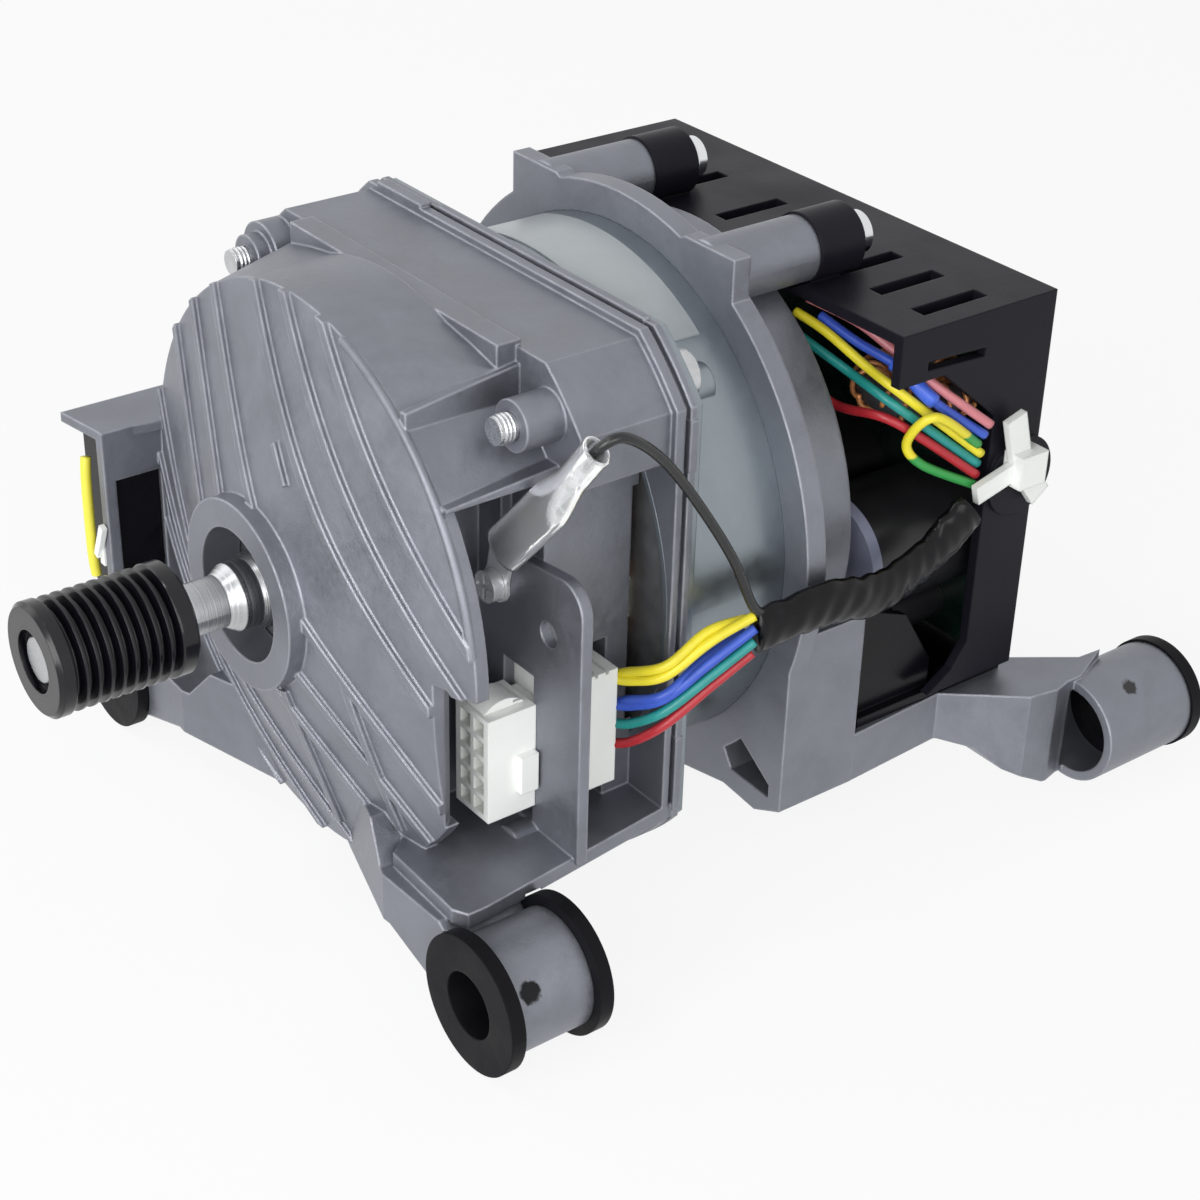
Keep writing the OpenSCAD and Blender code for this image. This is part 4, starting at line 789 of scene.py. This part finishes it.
class MOTOR_OT_build_threads(bpy.types.Operator):
    """Makes the threads on the ends of the long screws"""

    bl_idname = "motor.build_threads"
    bl_label = "Build the screw threads"

    HEAD_R = 4.5 * MM
    ROOT_R = 2.46 * MM
    CREST = 0.34 * MM
    PITCH = 0.8 * MM
    FOOT = 0.46
    START = 0.35 * MM
    TURNS = 3.7
    POINTS_PER_TURN = 36

    def execute(self, context):
        """Ridge of three sides on a helix: with a the turn round the screw, the root's two edges lie on the
        radius ROOT_R, FOOT times PITCH before and after the line START + PITCH a / 2 pi, and the crest lies
        CREST outside it. The crest rises from almost nothing over the first half turn and sinks over the
        last."""
        low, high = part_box("tie_screws")
        a = np.linspace(0, 2 * np.pi * self.TURNS, int(self.POINTS_PER_TURN * self.TURNS))
        rise = np.clip(np.minimum(a, a[-1] - a) / np.pi, 0.05, 1)
        middle = low.y + self.START + self.PITCH * a / (2 * np.pi)
        radius = np.stack([0 * a, self.CREST * rise, 0 * a], -1) + self.ROOT_R
        along = middle[:, None] + np.array([-self.FOOT, 0, self.FOOT]) * self.PITCH
        ridge = np.stack([radius * np.cos(a)[:, None], along, radius * np.sin(a)[:, None]], -1)
        points, faces = [], []
        for side in (-1, 1):
            for level in (-1, 1):
                axis = np.array([side * (high.x - self.HEAD_R), 0, level * (high.z - self.HEAD_R)])
                faces += tube_faces(len(a), 3, len(points) * ridge.size // 3)
                points.append((ridge + axis).reshape(-1, 3))
        mesh_piece("screw_threads", np.concatenate(points), faces, bpy.data.materials["zinc_screws"],
                   smooth=False)
        return {"FINISHED"}


class MOTOR_OT_build_sheath(bpy.types.Operator):
    """Makes the flat black sleeve round the harness, with its creases"""

    bl_idname = "motor.build_sheath"
    bl_label = "Build the sheath"

    SIDES = 40
    PATH_STEPS = 40
    END_RINGS = 6
    END_SHARE = 0.86
    CREASE = 0.14 * MM
    WRINKLE = 0.07 * MM

    def execute(self, context):
        """Flat tube. With s the place along it, swell is 1 + 0.03 sin(31 s) + 0.025 sin(73 s + 1), and it
        sinks by END_SHARE over the last rings. The width is sheath_w swell, the thickness sheath_t
        (2 - swell). With a the turn round it, the skin is lifted by CREASE sin(34 s + 2 a) sin(15 s + 2)
        and WRINKLE sin(88 s - 3 a), so that creases run slantwise."""
        path = placed(smooth_route(SHEATH_ROUTE, self.PATH_STEPS), SHEATH_IN)
        s = np.linspace(0, 1, len(path))
        swell = 1 + 0.03 * np.sin(31 * s) + 0.025 * np.sin(73 * s + 1)
        swell[-self.END_RINGS:] *= np.linspace(1, self.END_SHARE, self.END_RINGS)
        width, height = sizes().sheath_w * swell, sizes().sheath_t * (2 - swell)
        rings = tube_rings(path, width, height, (0, 0, 1), self.SIDES)
        a = 2 * np.pi * np.arange(self.SIDES) / self.SIDES
        crease = self.CREASE * np.sin(34 * s[:, None] + 2 * a[None]) * np.sin(15 * s[:, None] + 2)
        crease += self.WRINKLE * np.sin(88 * s[:, None] - 3 * a[None])
        rings += unit_rows(rings - path[:, None]) * crease[..., None]
        material = plastic("sheath_black", (0.003, 0.003, 0.004), spread=0.3, smooth=0.16, rough=0.3,
                           grain=0.15, shine=0.22, cloud=300.0)
        piece = mesh_piece("harness_sleeve", rings, tube_faces(len(path), self.SIDES), material)
        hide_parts("harness_sheath")
        return {"FINISHED"}


class MOTOR_OT_build_clear_sleeve(bpy.types.Operator):
    """Makes the clear sleeve over the earth receptacle"""

    bl_idname = "motor.build_clear_sleeve"
    bl_label = "Build the clear sleeve"

    LINE = [(-17.4, -3.7, -22.3), (-6.9, -1.9, -9.7), (2.8, 0.7, 4.1)]
    PATH_STEPS = 16
    SIDES = 32
    # Width and thickness over the body and how much less they are over the lead, in millimetres
    BODY_W = 9
    BODY_T = 5
    NARROWER = 3.2
    THINNER = 0.6
    WALL = 0.35
    # Share of the length where the step begins, and share that it takes
    STEP_FROM = 0.5
    STEP_LENGTH = 0.25

    def execute(self, context):
        """Open flat tube: an outer skin and an inner skin WALL inside it, joined at both mouths. It is
        widest over the receptacle's body and narrows to the lead by a smooth step."""
        path = placed(smooth_route(self.LINE, self.PATH_STEPS), CRIMP_AT)
        s = np.linspace(0, 1, len(path))
        step = np.clip((s - self.STEP_FROM) / self.STEP_LENGTH, 0, 1)
        step = step * step * (3 - 2 * step)
        width = (self.BODY_W - self.NARROWER * step) * MM
        height = (self.BODY_T - self.THINNER * step) * MM
        side = unit_rows(np.array(CRIMP_SIDE))
        skins = [tube_rings(path, width - less, height - less, side, self.SIDES)
                 for less in (0, 2 * self.WALL * MM)]
        n = len(path) * self.SIDES
        walls = tube_faces(len(path), self.SIDES)[:-2]
        inner = [[i + n for i in face[::-1]] for face in walls]
        j = np.arange(self.SIDES)
        k = (j + 1) % self.SIDES
        near = np.stack([k, j, j + n, k + n], -1)
        far = np.stack([j, k, k + n, j + n], -1) + n - self.SIDES
        faces = walls + inner + near.tolist() + far.tolist()
        piece = mesh_piece("receptacle_sleeve", np.concatenate([q.reshape(-1, 3) for q in skins]), faces,
                           clear_film("clear_sleeve"))
        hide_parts("earth_sleeve")
        return {"FINISHED"}


class MOTOR_OT_build_receptacle(bpy.types.Operator):
    """Makes the crimped receptacle of the earth lead, with its rolled wings"""

    bl_idname = "motor.build_receptacle"
    bl_label = "Build the receptacle"

    SHEET = 0.4
    ROLL_POINTS = 9
    # Body, neck and two grips: the ends, half the width, the roll's radius and half the opening
    PARTS = (
        ([(-16.4, -3.6, -21.1), (-6.1, -1.7, -8.7)], 3.3, 0.9, 0.35),
        ([(-6.9, -1.85, -9.7), (-4.6, -1.35, -6.6)], 1.5, 0.5, 1.0),
        ([(-5, -1.4, -7.2), (-3.2, -0.95, -4.6)], 1.5, 1.1, 0.15),
        ([(-2.4, -0.7, -3.5), (-0.2, -0.1, -0.3)], 1.8, 1.35, 0.15),
    )

    @classmethod
    def folded(cls, ends, half, roll, opening):
        """Sheet bent to a flat C and drawn between two ends: its middle line goes along the base, round a
        half circle of radius roll at each side and back to the opening; the skins lie SHEET/2 off it."""
        turn = np.linspace(-np.pi / 2, np.pi / 2, cls.ROLL_POINTS)
        right = np.stack([half - roll + roll * np.cos(turn), roll * np.sin(turn)], -1)
        line = np.concatenate([[[opening, roll]], right[::-1], right * [-1, 1], [[-opening, roll]]])
        along = np.gradient(line, axis=0)
        across = unit_rows(np.stack([-along[:, 1], along[:, 0]], -1)) * cls.SHEET / 2
        outline = np.concatenate([line + across, (line - across)[::-1]])
        start, end = np.asarray(ends[0], float), np.asarray(ends[1], float)
        axis = unit_rows(end - start)
        side = unit_rows(np.array(CRIMP_SIDE) - axis * np.dot(CRIMP_SIDE, axis))
        face = np.cross(side, axis)
        ring = outline[:, 1:] * face - outline[:, :1] * side
        count, n = len(outline), len(line)
        j = np.arange(count)
        k = (j + 1) % count
        walls = np.stack([j, k, k + count, j + count], -1).tolist()
        strip = [[i + 1, i, count - 1 - i, count - 2 - i] for i in range(n - 1)]
        cap = [[v + count for v in quad[::-1]] for quad in strip]
        return np.concatenate([start + ring, end + ring]), walls + strip + cap

    def execute(self, context):
        points, faces, start = [], [], 0
        for part in self.PARTS:
            ring, quads = self.folded(*part)
            points.append(ring)
            faces += [[v + start for v in quad] for quad in quads]
            start += len(ring)
        piece = mesh_piece("crimped_receptacle", placed(np.concatenate(points), CRIMP_AT), faces,
                           bpy.data.materials["tinned_brass"], smooth=False)
        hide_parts("earth_receptacle")
        return {"FINISHED"}


class MOTOR_OT_build_choke(bpy.types.Operator):
    """Makes the copper winding round the choke's ring core"""

    bl_idname = "motor.build_choke"
    bl_label = "Build the choke winding"

    RING_R = 8.6
    LOOP_R = 3.7
    ARC = 330
    START = -75
    POINTS_PER_LOOP = 40

    def execute(self, context):
        """One wire on a torus: with a the turn round the ring, from START on through ARC degrees, and b the
        turn round the core, the radius is RING_R + LOOP_R cos b and the height is LOOP_R sin b."""
        count = sizes().choke_loops * self.POINTS_PER_LOOP
        i = np.arange(count + 1)
        a = np.radians(self.ARC * i / count + self.START)
        b = 2 * np.pi * i / self.POINTS_PER_LOOP
        r = self.RING_R + self.LOOP_R * np.cos(b)
        line = np.stack([r * np.cos(a), r * np.sin(a), self.LOOP_R * np.sin(b)], -1) * MM
        core = np.array(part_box("choke_core"))
        side = np.stack([-np.sin(a), np.cos(a), 0 * a], -1)
        copper = colours().copper
        material = metal("enamelled_copper", scaled(copper, 0.85), scaled(copper, 1.3), scale=400.0,
                         smooth=0.18, rough=0.32, metallic=0.3, grain=0.05)
        thick = sizes().choke_wire_d
        piece = tubes("choke_copper", [line + core.mean(axis=0)], thick, thick, material,
                      side=side, sides=12)
        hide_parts("choke_winding")
        return {"FINISHED"}


class MOTOR_OT_build_stage(bpy.types.Operator):
    """Sets up the pale floor, the soft lamps and the camera"""

    bl_idname = "motor.build_stage"
    bl_label = "Build the stage"

    SENSOR_W = 36
    NEAREST = 0.01
    FLOOR_HALF = 3.0
    FLOOR_GAP = 0.3 * MM
    FLOOR_GREY = (0.86, 0.86, 0.87, 1)
    FLOOR_WHITE_SHARE = 0.88
    # Name, place and size in metres, counted from the motor's middle, and the setting of the power
    LAMPS = (
        ("key", (0.35, -0.95, 0.34), 0.7, "key_power"),
        ("right_fill", (1.0, -0.35, 0.2), 0.8, "right_power"),
        ("left_fill", (-0.9, -0.5, 0.6), 0.8, "left_power"),
        ("glint", (-0.15, -0.6, 0.95), 0.12, "glint_power"),
    )

    def execute(self, context):
        studio = context.scene.studio_settings
        self.camera(context, studio)
        self.floor()
        self.lamps(context, studio)
        context.scene.view_settings.view_transform = "Standard"
        return {"FINISHED"}

    def camera(self, context, studio):
        """Camera axes: back points from the motor to the camera, right and up are turned by the roll."""
        azimuth, elevation, roll = studio.azimuth, studio.elevation, studio.roll
        back = Vector((math.sin(azimuth) * math.cos(elevation), -math.cos(azimuth) * math.cos(elevation),
                       math.sin(elevation)))
        level = Vector((math.cos(azimuth), math.sin(azimuth), 0))
        right = level * math.cos(roll) + back.cross(level) * math.sin(roll)
        data = bpy.data.cameras.new("camera")
        data.lens = studio.lens
        data.sensor_width = self.SENSOR_W
        data.clip_start = self.NEAREST
        camera = bpy.data.objects.new("camera", data)
        camera.matrix_world = Matrix.Translation(studio.place) @ Matrix(
            (right, back.cross(right), back)).transposed().to_4x4()
        context.scene.collection.objects.link(camera)
        context.scene.camera = camera

    def seen(self, graph):
        """One where the camera sees a surface straight on, in a shiny one or through a clear one."""
        path = graph.add("ShaderNodeLightPath").outputs
        mirrored = graph.math("MAXIMUM", path["Is Glossy Ray"], path["Is Transmission Ray"])
        return graph.math("MAXIMUM", path["Is Camera Ray"], mirrored)

    def floor(self):
        """Wide floor just under the motor: white where it is seen, darker where the motor shades it."""
        z = CAD_BOX[0].z - self.FLOOR_GAP
        half = self.FLOOR_HALF
        corners = np.array([[-half, -half, z], [half, -half, z], [half, half, z], [-half, half, z]])
        mesh = bpy.data.meshes.new("floor")
        mesh.from_pydata(corners.tolist(), [], [[0, 1, 2, 3]])
        floor = bpy.data.objects.new("floor", mesh)
        bpy.context.scene.collection.objects.link(floor)
        material = bpy.data.materials.new("white_floor")
        graph = empty_graph(material)
        matt = graph.add("ShaderNodeBsdfDiffuse", {"Color": self.FLOOR_GREY})
        white = graph.add("ShaderNodeEmission", {"Color": (1, 1, 1, 1), "Strength": 1.0})
        share = graph.math("MULTIPLY", self.seen(graph), self.FLOOR_WHITE_SHARE)
        mixed = graph.add("ShaderNodeMixShader", {0: share, 1: matt.outputs[0], 2: white.outputs[0]})
        graph.add("ShaderNodeOutputMaterial", {"Surface": mixed.outputs[0]})
        mesh.materials.append(material)

    def lamps(self, context, studio):
        """Large light before the pulley side, a weaker one on each side, a small one and a white room."""
        centre = (CAD_BOX[0] + CAD_BOX[1]) / 2
        for name, offset, size, power in self.LAMPS:
            data = bpy.data.lights.new(name, "AREA")
            data.size = size
            data.energy = getattr(studio, power)
            lamp = bpy.data.objects.new(name, data)
            lamp.location = centre + Vector(offset)
            lamp.rotation_euler = Vector(offset).to_track_quat("Z", "Y").to_euler()
            context.scene.collection.objects.link(lamp)
        world = bpy.data.worlds.new("white_room")
        context.scene.world = world
        graph = empty_graph(world)
        strength = graph.span(self.seen(graph), 0.0, 1.0, to_low=studio.ambient)
        room = graph.add("ShaderNodeBackground", {"Color": (1, 1, 1, 1), "Strength": strength})
        graph.add("ShaderNodeOutputWorld", {"Surface": room.outputs[0]})


class MOTOR_PT_panel(bpy.types.Panel):
    """Lists the motor's colours, sizes and building steps"""

    bl_idname = "MOTOR_PT_panel"
    bl_label = "Washing machine motor"
    bl_space_type = "VIEW_3D"
    bl_region_type = "UI"
    bl_category = "Motor"

    def draw(self, context):
        scene = context.scene
        for group in (scene.motor_colours, scene.harness_sizes, scene.studio_settings):
            box = self.layout.box()
            for name in group.__annotations__:
                box.prop(group, name)
        for step in STEPS:
            self.layout.operator(step.bl_idname)


GROUPS = {"motor_colours": MotorColours, "harness_sizes": HarnessSizes, "studio_settings": StudioSettings}
STEPS = (
    MOTOR_OT_build_stage, MOTOR_OT_finish_castings, MOTOR_OT_finish_steel, MOTOR_OT_finish_pulley,
    MOTOR_OT_finish_plastics, MOTOR_OT_finish_electrics, MOTOR_OT_build_wires, MOTOR_OT_build_earth_lead,
    MOTOR_OT_build_threads, MOTOR_OT_build_sheath, MOTOR_OT_build_receptacle,
    MOTOR_OT_build_clear_sleeve, MOTOR_OT_build_choke,
)


def register():
    for name, group in GROUPS.items():
        bpy.utils.register_class(group)
        setattr(bpy.types.Scene, name, bpy.props.PointerProperty(type=group))
    for step in STEPS:
        bpy.utils.register_class(step)
    bpy.utils.register_class(MOTOR_PT_panel)


def unregister():
    bpy.utils.unregister_class(MOTOR_PT_panel)
    for step in reversed(STEPS):
        bpy.utils.unregister_class(step)
    for name, group in GROUPS.items():
        delattr(bpy.types.Scene, name)
        bpy.utils.unregister_class(group)


def main():
    register()
    for step in STEPS:
        kind, name = step.bl_idname.split(".")
        getattr(getattr(bpy.ops, kind), name)()


if __name__ == "__main__":
    main()
